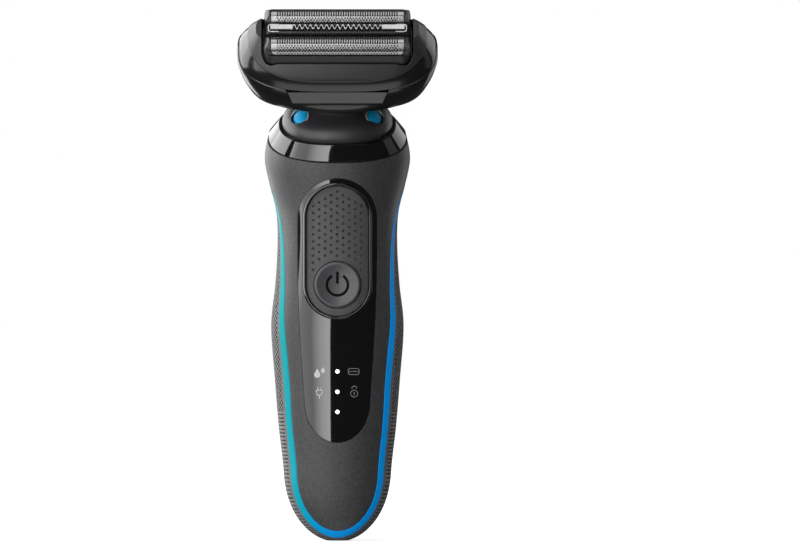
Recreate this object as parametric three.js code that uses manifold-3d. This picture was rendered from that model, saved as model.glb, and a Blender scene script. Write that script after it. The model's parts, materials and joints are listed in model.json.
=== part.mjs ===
// A cordless foil shaver: a tapered handle with a thumb panel, a tilted neck with two release
// buttons, and a swivelling head that carries a lift-off cutter cassette.
//
// Units are millimetres. Z runs up the handle, X is left to right across the foils, and the
// thumb panel faces -Y. Handle pieces are drawn about the handle's own centre line, neck pieces
// in a frame that leans forward on the collar, and head pieces in a frame on the swivel axis.

import * as THREE from 'three';
import { mergeVertices } from 'three/addons/utils/BufferGeometryUtils.js';
import Module from 'manifold-3d';

const wasm = await Module();
wasm.setup();

// ---------------------------------------------------------------- driving dimensions

const GAP = 0.3; // between neighbouring pieces
const HANDLE_Y = 8.15; // the handle's centre line, behind the middle of the whole depth
const WALL = 3.0; // skin of the handle shells
const GRIP = 1.1; // rubber layer over the rear shell
const HANDLE_POWER = 2.3; // how square the handle's section is
const BOTTOM_ROUND = 20.8; // height over which the bottom end rounds off
const BOTTOM_SPAN = 21.3;
const HANDLE_TOP = 137;
const SMALLEST = 0.06; // detail below this is dropped from the finished solids

const NECK_Z = 125.8; // where the collar plane meets the centre line
const NECK_TILT = 29; // degrees forward
const NECK_SCREW_X = 12.6;
const PIVOT_N = 17; // swivel axis above the collar plane, along the neck
const HEAD_TILT = 45; // degrees forward, with the head at rest
const HEAD_POWER = 3.2;

const TRIM = 0.75; // half width of the coloured trim
const WINDOW_R = 12.3; // display window's half width
const WINDOW_TOP = 112.2;
const PAD_R = 9.6; // thumb pad's half width
const PAD_TOP = 100.3; // centre of the pad's upper round end
const BUTTON_Z = 79.4;
const BUTTON_R = 7.2;
const LED_Z = [40.1, 46.3, 52.6];

const CASSETTE_X = 23.1;
const CASSETTE_V = 10.3;
const FOIL_V = 6.2; // each foil's centre, in front of and behind the trimmer
const FOIL_U = 22.9; // centre of the foil's arch above the swivel axis
const FOIL_R = 3.2;
const FOIL_X = 20.4;
const FLOAT = 1.5; // how far the foils and the trimmer sink

const MOTOR_Y = 2.6;
const ECCENTRIC = 1.0; // throw of the motor's crank pin
const ROCKER_N = 3; // rocker's own pivot above the collar plane

// ---------------------------------------------------------------- materials

const CHARCOAL = [0x35363a, 0.5, 0.0];
const RUBBER = [0x2b2c2e, 0.85, 0.0];
const GLOSS = [0x0b0b0d, 0.08, 0.0];
const SATIN = [0x2a2b2e, 0.4, 0.0];
const BLUE = [0x0f93cf, 0.35, 0.0];
const STEEL = [0xc2c4c6, 0.3, 1.0];
const BRASS = [0xb08a3e, 0.35, 1.0];
const INNER = [0x56585c, 0.6, 0.0];
const WHITE = [0xf2f4f6, 0.4, 0.0];
const GREEN = [0x1f5a36, 0.55, 0.0];
const WRAP = [0x2f6f9c, 0.5, 0.0];

// ---------------------------------------------------------------- solids

function solid(geometry) {
  geometry.deleteAttribute('normal');
  geometry.deleteAttribute('uv');
  const merged = mergeVertices(geometry, 1e-4);
  const mesh = new wasm.Mesh({
    numProp: 3,
    vertProperties: new Float32Array(merged.attributes.position.array),
    triVerts: new Uint32Array(merged.index.array),
  });
  return new wasm.Manifold(mesh);
}

function toGeometry(manifold) {
  const mesh = manifold.getMesh();
  const geometry = new THREE.BufferGeometry();
  geometry.setAttribute('position', new THREE.BufferAttribute(mesh.vertProperties, 3));
  geometry.setIndex(new THREE.BufferAttribute(mesh.triVerts, 1));
  geometry.computeVertexNormals();
  return geometry;
}

// A box from its lowest to its highest corner.
function box(low, high) {
  const size = high.map((value, i) => value - low[i]);
  const geometry = new THREE.BoxGeometry(...size);
  geometry.translate(...low.map((value, i) => value + size[i] / 2));
  return solid(geometry);
}

// Two values in rising order.
function span(a, b) {
  return a < b ? [a, b] : [b, a];
}

// A box with the same reach on both sides of X = 0.
function symmetricBox(halfX, y, z) {
  return box([-halfX, y[0], z[0]], [halfX, y[1], z[1]]);
}

// Round bars along each axis, from one end to the other, about a centre in the other two axes.
function barZ(radius, [x, y], [low, high], sides = 24) {
  const geometry = new THREE.CylinderGeometry(radius, radius, high - low, sides);
  geometry.rotateX(Math.PI / 2);
  geometry.translate(x, y, (low + high) / 2);
  return solid(geometry);
}

function barY(radius, [x, z], [low, high], sides = 24) {
  const geometry = new THREE.CylinderGeometry(radius, radius, high - low, sides);
  geometry.translate(x, (low + high) / 2, z);
  return solid(geometry);
}

function barX(radius, [y, z], [low, high], sides = 24) {
  const geometry = new THREE.CylinderGeometry(radius, radius, high - low, sides);
  geometry.rotateZ(Math.PI / 2);
  geometry.translate((low + high) / 2, y, z);
  return solid(geometry);
}

function extrude(shape, length, curveSegments) {
  return new THREE.ExtrudeGeometry(shape, { depth: length, bevelEnabled: false, curveSegments });
}

// An outline drawn in X and Z, pushed along Y.
function prismY(shape, [low, high], curveSegments = 12) {
  const geometry = extrude(shape, high - low, curveSegments);
  geometry.rotateX(Math.PI / 2);
  geometry.translate(0, high, 0);
  return solid(geometry);
}

// An outline drawn in Y and Z, pushed along X.
function prismX(shape, [low, high], curveSegments = 12) {
  const geometry = extrude(shape, high - low, curveSegments);
  const turn = new THREE.Matrix4().makeBasis(
    new THREE.Vector3(0, 1, 0),
    new THREE.Vector3(0, 0, 1),
    new THREE.Vector3(1, 0, 0),
  );
  geometry.applyMatrix4(turn);
  geometry.translate(low, 0, 0);
  return solid(geometry);
}

// An outline drawn in X and Y, pushed along Z.
function prismZ(shape, [low, high], curveSegments = 12) {
  const geometry = extrude(shape, high - low, curveSegments);
  geometry.translate(0, 0, low);
  return solid(geometry);
}

// A smooth curve through [place, value] pairs, as a function of place.
function smooth(points) {
  const slope = (i) => {
    const before = points[Math.max(i - 1, 0)];
    const after = points[Math.min(i + 1, points.length - 1)];
    return (after[1] - before[1]) / (after[0] - before[0]);
  };
  return (place) => {
    const last = points.length - 2;
    const found = points.findIndex((point) => point[0] > place) - 1;
    const i = found === -2 ? last : Math.max(found, 0);
    const span = points[i + 1][0] - points[i][0];
    const t = Math.min(Math.max((place - points[i][0]) / span, 0), 1);
    const bend = t * t * (3 - 2 * t);
    const start = points[i][1] * (1 - bend) + points[i + 1][1] * bend;
    return start + span * t * (1 - t) * ((1 - t) * slope(i) - t * slope(i + 1));
  };
}

// A closed loft up Z. Each level gives its height, half width, front depth and back depth; the
// section is a rounded oval whose power says how square it is.
function loft(levels, power, backPower = power, sides = 28) {
  const geometry = new THREE.CylinderGeometry(1, 1, 1, sides, levels.length - 1);
  geometry.rotateX(Math.PI / 2);
  const position = geometry.attributes.position;
  for (let i = 0; i < position.count; i += 1) {
    const row = Math.round((position.getZ(i) + 0.5) * (levels.length - 1));
    const [height, width, front, back] = levels[row];
    const angle = Math.atan2(position.getY(i), position.getX(i));
    const reach = Math.hypot(position.getX(i), position.getY(i));
    const behind = Math.sin(angle) > 0;
    const bend = 2 / (behind ? backPower : power);
    const across = Math.sign(Math.cos(angle)) * Math.abs(Math.cos(angle)) ** bend;
    const along = Math.sign(Math.sin(angle)) * Math.abs(Math.sin(angle)) ** bend;
    const depth = behind ? back : front;
    position.setXYZ(i, reach * across * width, reach * along * depth, height);
  }
  return solid(geometry);
}

// A wire wound up Z between two heights, with a flat end at each end of the wire.
function coil(radius, wire, turns, [low, high], [x, y]) {
  class Helix extends THREE.Curve {
    getPoint(t, target = new THREE.Vector3()) {
      const angle = t * turns * 2 * Math.PI;
      const rise = low + wire + t * (high - low - 2 * wire);
      return target.set(x + radius * Math.cos(angle), y + radius * Math.sin(angle), rise);
    }
  }
  const section = new THREE.Shape();
  for (let corner = 0; corner < 6; corner += 1) {
    const angle = (corner * Math.PI) / 3;
    const move = corner === 0 ? 'moveTo' : 'lineTo';
    section[move](wire * Math.cos(angle), wire * Math.sin(angle));
  }
  const options = { extrudePath: new Helix(), steps: turns * 9, bevelEnabled: false };
  return solid(new THREE.ExtrudeGeometry(section, options));
}

function joined(pieces) {
  return pieces.reduce((all, piece) => all.add(piece));
}

// ---------------------------------------------------------------- the assembly's frames

const shaver = new THREE.Group();
const handle = new THREE.Group();
handle.position.y = HANDLE_Y;
shaver.add(handle);

const neck = new THREE.Group();
neck.position.z = NECK_Z;
neck.rotation.x = THREE.MathUtils.degToRad(NECK_TILT);
handle.add(neck);

const head = new THREE.Group();
head.position.z = PIVOT_N;
head.rotation.x = THREE.MathUtils.degToRad(HEAD_TILT - NECK_TILT);
neck.add(head);

function place(parent, name, manifold, [color, roughness, metalness]) {
  const material = new THREE.MeshStandardMaterial({ color, roughness, metalness });
  const mesh = new THREE.Mesh(toGeometry(manifold.simplify(SMALLEST)), material);
  mesh.name = name;
  parent.add(mesh);
}

// Moves a solid drawn in the neck's frame into the handle's frame.
function fromNeck(manifold) {
  return manifold.rotate([NECK_TILT, 0, 0]).translate([0, 0, NECK_Z]);
}

// ---------------------------------------------------------------- the handle's outer shape

const widths = smooth([
  [0, 16.3], [20.8, 16.7], [35.7, 18.3], [50.5, 19.5], [67, 20.6], [80, 19.3], [93, 18.6],
  [102, 19.0], [110, 20.9], [118.5, 22.6], [125.8, 21.5], [130, 20.2], [HANDLE_TOP, 18.4],
]);
const fronts = smooth([
  [0, 11.5], [20, 11.9], [45, 13.4], [67, 14.3], [93, 14.0], [106, 14.6], [117, 15.8],
  [HANDLE_TOP, 15.8],
]);
const backs = smooth([
  [0, 12.0], [20, 12.6], [45, 14.6], [67, 15.8], [80, 15.2], [93, 14.2], [105, 14.2],
  [117, 15.0], [HANDLE_TOP, 14.4],
]);

function bottomRound(height) {
  const below = Math.max(BOTTOM_ROUND - height, 0) / BOTTOM_SPAN;
  return Math.sqrt(1 - below * below);
}

// The handle's section at a height, drawn in by an inset.
function handleLevel(height, inset) {
  const round = bottomRound(height);
  const depthRound = Math.sqrt(round);
  return [
    height,
    widths(height) * round - inset,
    fronts(height) * depthRound - inset,
    backs(height) * depthRound - inset,
  ];
}

function handleBody(inset, floor = 0) {
  const heights = [0, 1, 2.6, 5, 8.6, 13.5, 21].filter((height) => height > floor);
  heights.unshift(floor);
  const step = 10.54;
  for (let height = 21 + step; height <= HANDLE_TOP + 0.01; height += step) heights.push(height);
  return loft(heights.map((height) => handleLevel(height, inset)), HANDLE_POWER);
}

// The line in Y and Z where front and rear shells meet, moved sideways by an offset.
function seamLine(offset) {
  const points = [
    [-8.2, -8], [-7.6, 10], [-8.1, 30], [-8.9, 50], [-8.9, 66], [-7.4, 84], [-5.4, 98],
    [-1.9, 108], [4.0, 115], [12, 119], [24, 121.8],
  ];
  const curve = new THREE.SplineCurve(points.map((point) => new THREE.Vector2(...point)));
  const line = [];
  for (let i = 0; i <= 24; i += 1) {
    const tangent = curve.getTangent(i / 24);
    const side = new THREE.Vector2(tangent.y, -tangent.x);
    line.push(curve.getPoint(i / 24).addScaledVector(side, offset));
  }
  return line;
}

const REACH = 40; // half the width of the cutting solids

function behindSeam(offset) {
  const corners = [new THREE.Vector2(REACH, 121), new THREE.Vector2(REACH, -8)];
  return prismX(new THREE.Shape([...seamLine(offset), ...corners]), [-REACH, REACH]);
}

function belowCollar(gap) {
  return fromNeck(box([-REACH, -120, -160], [REACH, 120, -gap]));
}

const outer = handleBody(0);
const cavity = handleBody(WALL, 3.4);
const underCollar = belowCollar(GAP);

// ---------------------------------------------------------------- outlines on the front

function stadium(radius, low, high) {
  const shape = new THREE.Shape();
  shape.absarc(0, high, radius, 0, Math.PI, false);
  shape.absarc(0, low, radius, Math.PI, 2 * Math.PI, false);
  return shape;
}

// The display window: round on top, narrower below, with a flatter round bottom.
function windowOutline(grow) {
  const top = WINDOW_TOP - WINDOW_R;
  const radius = WINDOW_R + grow;
  const low = 10.1 + grow;
  const shape = new THREE.Shape();
  shape.moveTo(low, 43);
  shape.bezierCurveTo(low + 0.6, 52, radius, 70, radius, 92);
  shape.lineTo(radius, top);
  shape.absarc(0, top, radius, 0, Math.PI, false);
  shape.lineTo(-radius, 92);
  shape.bezierCurveTo(-radius, 70, -low - 0.6, 52, -low, 43);
  shape.absellipse(0, 43, low, 12.4 + grow, Math.PI, 2 * Math.PI, false);
  return shape;
}

const FRONT = [-REACH, -3]; // the stretch of Y that front outlines cut through

function skin(outline, outerInset, innerInset) {
  const layer = handleBody(outerInset).subtract(handleBody(innerInset, 1.2));
  return prismY(outline, FRONT).intersect(layer);
}

// A pocket sunk into the front to a depth below the surface.
function pocket(outline, depth) {
  return prismY(outline, FRONT).subtract(handleBody(depth, 1.2));
}

// ---------------------------------------------------------------- handle shells

const PANEL_DEPTH = 1.6; // pocket for the display window
const PAD_DEPTH = 2.3; // pocket for the thumb pad
const INLET_HALF = [4.9, 3.4]; // inlet body's half width and half depth
const INLET_TOP = 13;

function inletOutline(grow) {
  const [across, along] = INLET_HALF.map((half) => half + grow);
  const straight = across - along;
  const shape = new THREE.Shape();
  shape.absarc(straight, 0, along, -Math.PI / 2, Math.PI / 2, false);
  shape.absarc(-straight, 0, along, Math.PI / 2, 1.5 * Math.PI, false);
  return shape;
}

const inletHole = prismZ(inletOutline(GAP), [-5, 20], 8);

// Bosses inside the front cover that take the neck's screws.
function neckBoss(side) {
  const boss = box([side * 15.4 - 5.4, -3, -10], [side * 15.4 + 5.4, 3, -3]);
  const kept = fromNeck(boss).intersect(handleBody(1, 2));
  return kept.subtract(fromNeck(barZ(1.15, [side * NECK_SCREW_X, 0], [-11, 0], 12)));
}

function makeFrontCover() {
  const shell = outer.subtract(cavity).subtract(behindSeam(-TRIM - GAP)).intersect(underCollar);
  const bosses = joined([neckBoss(-1), neckBoss(1)]);
  const cuts = joined([
    pocket(windowOutline(GAP), PANEL_DEPTH),
    pocket(stadium(PAD_R + 1.1 + GAP, BUTTON_Z, PAD_TOP), PAD_DEPTH),
    barY(2.6, [0, BUTTON_Z], FRONT, 20),
    symmetricBox(1.4, FRONT, [LED_Z[0] - 2, LED_Z[2] + 2]),
  ]);
  return shell.subtract(cuts).add(bosses.subtract(behindSeam(-TRIM - GAP)));
}

function makeRearShell() {
  const wall = handleBody(GRIP + GAP, 1.8).subtract(cavity).subtract(inletHole);
  const lip = handleBody(2.1, 2.4).subtract(cavity).subtract(inletHole);
  const open = wall.intersect(behindSeam(TRIM + GAP));
  return open.add(lip.intersect(behindSeam(-TRIM))).intersect(underCollar);
}

function makeRearGrip() {
  const layer = outer.subtract(handleBody(GRIP, 1.4)).subtract(inletHole);
  return layer.intersect(behindSeam(TRIM + GAP)).intersect(underCollar);
}

function makeTrim() {
  const ring = outer.subtract(handleBody(1.8, 2.1));
  return ring.intersect(behindSeam(-TRIM)).subtract(behindSeam(TRIM)).subtract(inletHole);
}

place(handle, 'front_cover', makeFrontCover(), CHARCOAL);
place(handle, 'rear_shell', makeRearShell(), INNER);
place(handle, 'rear_grip', makeRearGrip(), RUBBER);
place(handle, 'accent_trim', makeTrim(), BLUE);

// ---------------------------------------------------------------- front panel

const LED_R = 0.6;
const padOutline = stadium(PAD_R, BUTTON_Z, PAD_TOP);
const ledHoles = joined(LED_Z.map((height) => barY(LED_R + 0.2, [0, height], FRONT, 12)));
const lipOuter = stadium(PAD_R + 0.8 + GAP, BUTTON_Z, PAD_TOP);

const windowHole = prismY(stadium(PAD_R + 1.1 + GAP, BUTTON_Z, PAD_TOP), FRONT);
const windowSkin = skin(windowOutline(0), -0.15, PANEL_DEPTH - GAP);
place(handle, 'display_window', windowSkin.subtract(windowHole).subtract(ledHoles), GLOSS);

const padHole = prismY(stadium(PAD_R + GAP, BUTTON_Z, PAD_TOP), FRONT);
place(handle, 'thumb_bezel', skin(lipOuter, -0.45, PAD_DEPTH - GAP).subtract(padHole), GLOSS);

const buttonHole = barY(BUTTON_R + GAP, [0, BUTTON_Z], FRONT, 36);
place(handle, 'thumb_pad', skin(padOutline, 0.8, PAD_DEPTH - GAP).subtract(buttonHole), RUBBER);

const BUTTON_FACE = -fronts(BUTTON_Z) + 0.3;
const buttonDisc = barY(BUTTON_R, [0, BUTTON_Z], [BUTTON_FACE, BUTTON_FACE + 1.15], 36);
const buttonPost = barY(2.2, [0, BUTTON_Z], [BUTTON_FACE + 0.5, BUTTON_FACE + 2.7], 20);
place(handle, 'power_button', buttonDisc.add(buttonPost), SATIN);

function makeLightGuide() {
  const surface = -fronts(LED_Z[1]);
  const bar = symmetricBox(1.1, [surface + 2.05, surface + 3.0], [LED_Z[0] - 1.6, LED_Z[2] + 1.6]);
  const stubs = LED_Z.map((height) => {
    return barY(LED_R, [0, height], [-fronts(height) - 0.05, surface + 2.4], 12);
  });
  return joined([bar, ...stubs]);
}

place(handle, 'light_guide', makeLightGuide(), WHITE);

// ---------------------------------------------------------------- power inlet

const INLET_FLOOR = 9.5;
const inletRecess = prismZ(inletOutline(-1.1), [-5, INLET_FLOOR], 8);
const pinHoles = [-1.9, 1.9].map((x) => barZ(0.95, [x, 0], [8, 15], 12));
const inletBody = prismZ(inletOutline(0), [0, INLET_TOP], 8).intersect(outer);
place(handle, 'power_inlet', inletBody.subtract(joined([inletRecess, ...pinHoles])), GLOSS);
place(handle, 'inlet_pin_left', barZ(0.7, [-1.9, 0], [5, 15.5], 12), BRASS);
place(handle, 'inlet_pin_right', barZ(0.7, [1.9, 0], [5, 15.5], 12), BRASS);

const sealRing = prismZ(inletOutline(2.2), [7, 8.6], 8);
place(handle, 'inlet_seal', sealRing.subtract(inletHole), RUBBER);

// ---------------------------------------------------------------- chassis and battery

const CELL_R = 7.1;
const CELL_Y = 2.2;
const CELL = [24.4, 74.4];
const PLATE_Y = [-7.3, -6.1];
const BOARD_Y = [-8.7, -7.6];
const BOARD_SCREWS = [[-6.4, 60], [5.4, 104]];

function makeChassis() {
  const foot = symmetricBox(7.6, PLATE_Y, [21.6, 50]);
  const plate = symmetricBox(10.2, PLATE_Y, [48, 116]);
  const shelves = [[21.6, 23.2], [75.6, 77.2]].map((z) => symmetricBox(7, [-6.3, 8.0], z));
  const rails = [-1, 1].map((side) => {
    const edge = side * 9.6;
    return box([edge - 0.6, -6.3, 48], [edge + 0.6, -2.6, 116]);
  });
  const holes = BOARD_SCREWS.map((at) => barY(1.15, at, [-10, -5], 12));
  return joined([foot, plate, ...shelves, ...rails]).subtract(joined(holes));
}

place(handle, 'chassis', makeChassis(), INNER);

const cellCan = barZ(CELL_R, [0, CELL_Y], CELL, 32);
place(handle, 'battery_cell', cellCan.add(barZ(2.6, [0, CELL_Y], [74, 74.7], 16)), WRAP);
const tabY = [CELL_Y - 3.5, CELL_Y + 3.5];
place(handle, 'battery_tab_lower', symmetricBox(3, tabY, [23.5, 24.1]), STEEL);
place(handle, 'battery_tab_upper', symmetricBox(3, tabY, [74.95, 75.35]), STEEL);

// ---------------------------------------------------------------- circuit board

function makeBoard() {
  const plate = symmetricBox(9, BOARD_Y, [56, 110]).add(symmetricBox(6.8, BOARD_Y, [35, 57]));
  return plate.subtract(joined(BOARD_SCREWS.map((at) => barY(1.15, at, [-10, -7], 12))));
}

place(handle, 'circuit_board', makeBoard(), GREEN);
const BOARD_FRONT = BOARD_Y[0] - GAP;
place(
  handle,
  'tact_switch',
  symmetricBox(2.6, [BOARD_FRONT - 0.9, BOARD_FRONT], [BUTTON_Z - 2.6, BUTTON_Z + 2.6]),
  INNER,
);
['status_light_lower', 'status_light_middle', 'status_light_upper'].forEach((name, i) => {
  const chipZ = [LED_Z[i] - 0.4, LED_Z[i] + 0.4];
  place(handle, name, symmetricBox(0.6, [BOARD_FRONT - 0.7, BOARD_FRONT], chipZ), WHITE);
});
['board_screw_lower', 'board_screw_upper'].forEach((name, i) => {
  const cap = barY(1.7, BOARD_SCREWS[i], [BOARD_FRONT - 0.7, BOARD_FRONT], 16);
  const thread = barY(0.9, BOARD_SCREWS[i], [BOARD_FRONT - 0.5, -6.4], 12);
  place(handle, name, cap.add(thread), STEEL);
});

// ---------------------------------------------------------------- motor

const MOTOR = [80.5, 108.5];

function flatted(radius, flat, [low, high]) {
  const slab = symmetricBox(radius, [MOTOR_Y - flat, MOTOR_Y + flat], [low, high]);
  return barZ(radius, [0, MOTOR_Y], [low, high], 32).intersect(slab);
}

const shaftHole = barZ(1.35, [0, MOTOR_Y], [70, 115], 16);
place(handle, 'motor_can', flatted(10, 7.6, MOTOR).subtract(shaftHole), STEEL);
const endBell = flatted(9.6, 7.2, [78.2, MOTOR[0] - GAP]);
place(handle, 'motor_end_bell', endBell.subtract(shaftHole), INNER);

function makeMotorMount() {
  const plate = symmetricBox(8.6, [-5.7, 8.6], [MOTOR[1] + GAP, MOTOR[1] + 1.9]);
  return plate.subtract(barZ(3, [0, MOTOR_Y], [100, 115], 20));
}

place(handle, 'motor_mount', makeMotorMount(), INNER);
place(handle, 'motor_shaft', barZ(1, [0, MOTOR_Y], [77.9, 113], 16), STEEL);

function makeEccentric() {
  const hub = barZ(3, [0, MOTOR_Y], [110.9, 113.8], 24);
  const bore = barZ(1.15, [0, MOTOR_Y], [110, 113.2], 16);
  return hub.subtract(bore).add(barZ(1, [0, MOTOR_Y + ECCENTRIC], [113.4, 118.2], 16));
}

place(handle, 'eccentric', makeEccentric(), BRASS);

// ---------------------------------------------------------------- neck, in its own frame

// Collar sections: height above the collar plane, half width, front depth, back depth.
const collarLow = [0.05, 21.4, 18.0, 16.4];
const collarHigh = [4.8, 18.2, 15.0, 13.6];
const collarBore = [
  [-1, 19.3, 16.0, 14.4],
  [0.05, 19.3, 16.0, 14.4],
  [4.0, 17.6, 14.4, 13.0],
  [6, 17.6, 14.4, 13.0],
];
const collarBody = loft([collarLow, collarHigh], 2.6, 2.0, 48);
place(neck, 'collar_ring', collarBody.subtract(loft(collarBore, 2.6, 2.0, 48)), GLOSS);

// The shoulder swells out of the collar and runs up into the waist of the neck.
const shoulder = [
  [1.4, 16.9, 13.8, 12.4],
  [4.2, 17.2, 14.0, 12.6],
  [6.2, 17.0, 13.7, 12.3],
  [7.6, 16.3, 12.7, 11.6],
  [8.8, 14.8, 11.2, 10.6],
  [9.8, 12.6, 9.5, 9.3],
  [10.9, 10.7, 8.1, 8.1],
  [12.2, 9.5, 7.2, 7.2],
  [14, 9.0, 6.8, 6.8],
];
const COLUMN = [6.4, 5.6]; // half width and half depth of the core that stands in the neck
const CHANNEL = [3.4, 3.2]; // the rocker's way through the core

const NECK_BUTTON = { at: [11.6, -5.3, 9.4], toward: [0.5, -0.42, 0.76], radius: 2.6, travel: 1 };

// Places a solid drawn along Z, with its outer end at 0, on a release button's axis.
function onButtonAxis(manifold, side) {
  const { at, toward } = NECK_BUTTON;
  const axis = new THREE.Vector3(side * toward[0], toward[1], toward[2]).normalize();
  const turn = new THREE.Quaternion().setFromUnitVectors(new THREE.Vector3(0, 0, 1), axis);
  const move = new THREE.Matrix4().compose(
    new THREE.Vector3(side * at[0], at[1], at[2]),
    turn,
    new THREE.Vector3(1, 1, 1),
  );
  return manifold.transform(move.elements);
}

function makeShoulder() {
  const thin = shoulder.slice(0, 5).map(([n, w, f, b]) => [n - 1.5, w - 1.6, f - 1.6, b - 1.6]);
  const hollow = loft(thin, 2.4, 2.1, 24);
  const bore = symmetricBox(COLUMN[0] + GAP, [-COLUMN[1] - GAP, COLUMN[1] + GAP], [0, 20]);
  const sockets = [-1, 1].map((side) => {
    return onButtonAxis(barZ(NECK_BUTTON.radius + 0.35, [0, 0], [-5, 3], 20), side);
  });
  const body = loft(shoulder, 2.4, 2.1, 32).subtract(hollow);
  const level = symmetricBox(REACH, [-REACH, REACH], [8, PIVOT_N + 1.3]);
  const barrel = barX(8.3, [0, PIVOT_N], [-9, 9], 32).intersect(level);
  const inside = barX(7.2, [0, PIVOT_N], [-7.9, 7.9], 32);
  const pinBore = barX(1.65, [0, PIVOT_N], [-12, 12], 16);
  return body.add(barrel).subtract(joined([bore, inside, pinBore, ...sockets]));
}

place(neck, 'shoulder_cap', makeShoulder(), SATIN);

function makeReleaseButton(side) {
  const { radius } = NECK_BUTTON;
  const dome = new THREE.SphereGeometry(radius, 20, 8);
  dome.scale(1, 1, 0.3);
  const cap = solid(dome).translate([0, 0, -0.4]);
  const barrel = barZ(radius, [0, 0], [-2.2, -0.4], 20);
  const seat = barZ(1.0, [0, 0], [-3.0, -2.1], 12);
  return onButtonAxis(joined([cap, barrel, seat]), side);
}

place(neck, 'release_button_left', makeReleaseButton(-1), BLUE);
place(neck, 'release_button_right', makeReleaseButton(1), BLUE);

const EAR = [4.4, 6.4]; // where the core's two ears begin and end along the swivel axis

function makeCore() {
  const flange = loft([[-2.6, 17.2, 13, 11], [1.0, 17.2, 13, 11]], 2.4, 2.1, 40);
  const column = symmetricBox(COLUMN[0], [-COLUMN[1], COLUMN[1]], [0.5, 13.8]);
  const ears = [-1, 1].map((side) => {
    const [near, far] = span(side * EAR[0], side * EAR[1]);
    const sheet = box([near, -3, 12], [far, 3, PIVOT_N]);
    return sheet.add(barX(3, [0, PIVOT_N], [near, far]));
  });
  const screwHoles = [-NECK_SCREW_X, NECK_SCREW_X].map((x) => barZ(1.15, [x, 0], [-5, 3], 12));
  const channel = symmetricBox(CHANNEL[0], [-CHANNEL[1], CHANNEL[1]], [-5, 20]);
  const pivotReach = symmetricBox(3, [-5.2, 5.2], [0, 9]);
  const pivotHole = barY(1.15, [0, ROCKER_N], [-5, 20], 16).intersect(pivotReach);
  const pinBore = barX(1.65, [0, PIVOT_N], [-8, 8], 16);
  const core = joined([flange, column, ...ears]);
  return core.subtract(joined([...screwHoles, channel, pivotHole, pinBore]));
}

place(neck, 'neck_core', makeCore(), INNER);
place(neck, 'rocker_pivot_pin', barY(1, [0, ROCKER_N], [-4.9, 4.9], 16), STEEL);
[['neck_screw_left', -NECK_SCREW_X], ['neck_screw_right', NECK_SCREW_X]].forEach(([name, x]) => {
  const screw = barZ(1.9, [x, 0], [1.3, 2.3], 16).add(barZ(0.9, [x, 0], [-8, 1.5], 12));
  place(neck, name, screw, STEEL);
});

// The rocker carries the crank's swing up to the head: a yoke, a boss on its pivot and a ball.
function makeRocker() {
  const frame = symmetricBox(5.2, [-7.6, 3.4], [-9.8, -7.6]);
  const yoke = frame.subtract(symmetricBox(3.6, [-6.3, 2.2], [-11, -6]));
  const riser = symmetricBox(2.4, [-7.6, -6.3], [-9.8, -5.1]);
  const reach = symmetricBox(1.6, [-7.6, 1.8], [-6.4, -5.1]);
  const stem = symmetricBox(1.6, [-1.8, 1.8], [-6.3, PIVOT_N - 1]);
  const boss = barY(2.6, [0, ROCKER_N], [-2.6, 2.6], 20);
  const bore = barY(1.25, [0, ROCKER_N], [-5, 5], 16);
  const ball = solid(new THREE.SphereGeometry(1.8, 16, 10)).translate([0, 0, PIVOT_N]);
  return joined([yoke, riser, reach, stem, boss]).subtract(bore).add(ball);
}

place(neck, 'rocker_arm', makeRocker(), BRASS);

// ---------------------------------------------------------------- head shells, in the head frame

// Head sections: height above the swivel axis, half width, front depth and back depth.
const headHalfWidth = smooth([
  [-3.2, 13.5], [-1, 19], [0.5, 23.2], [3, 26.2], [7, 28.4], [12, 30.3], [16, 30.9], [20.5, 28.5],
  [23, 26.6], [25, 25.1],
]);
const headHalfDepth = smooth([
  [-3.2, 5], [-1, 7.8], [0.5, 10.4], [3, 13], [7, 14.6], [12, 15], [16.5, 13.6], [20.5, 11.1],
  [23, 9.3], [25, 7.2],
]);

function headBody(inset, [low, high]) {
  const heights = [low];
  for (let height = low + 1.3; height < high - 0.6; height += 2.1) heights.push(height);
  heights.push(high);
  const levels = heights.map((height) => {
    const depth = headHalfDepth(height) - inset;
    return [height, headHalfWidth(height) - inset, depth, depth];
  });
  return loft(levels, HEAD_POWER, HEAD_POWER, 36);
}

// Everything above a joint line that is highest in the middle of the head's depth.
function aboveArch(crest, fall, shift) {
  const shape = new THREE.Shape();
  shape.moveTo(-20, crest - fall * 400 + shift);
  for (let y = -17.5; y <= 20; y += 2.5) shape.lineTo(y, crest - fall * y * y + shift);
  shape.lineTo(20, 45);
  shape.lineTo(-20, 45);
  return prismX(shape, [-REACH, REACH]);
}

function roundedOutline(halfX, halfY, radius) {
  const shape = new THREE.Shape();
  const x = halfX - radius;
  const y = halfY - radius;
  shape.absarc(x, y, radius, 0, Math.PI / 2, false);
  shape.absarc(-x, y, radius, Math.PI / 2, Math.PI, false);
  shape.absarc(-x, -y, radius, Math.PI, 1.5 * Math.PI, false);
  shape.absarc(x, -y, radius, 1.5 * Math.PI, 2 * Math.PI, false);
  return shape;
}

const RIM_LINE = [16.9, 0.0225]; // crest and fall of the line between bowl and rim
const FRAME_LINE = [22, 0.034]; // the same between rim and top frame
const headOuter = headBody(0, [-3.2, 25]);
const opening = prismZ(roundedOutline(CASSETTE_X + GAP, CASSETTE_V + GAP, 3.4), [7.6, 40], 6);
const headCavity = headBody(1.8, [2.2, 15]).add(opening);

function makeAccentOutline(grow) {
  const shape = new THREE.Shape();
  shape.moveTo(-13.8 - grow, 7.1 - grow);
  shape.lineTo(13.8 + grow, 7.1 - grow);
  shape.lineTo(15.4 + grow, 11.1 + grow);
  shape.lineTo(-15.4 - grow, 11.1 + grow);
  return shape;
}

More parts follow.
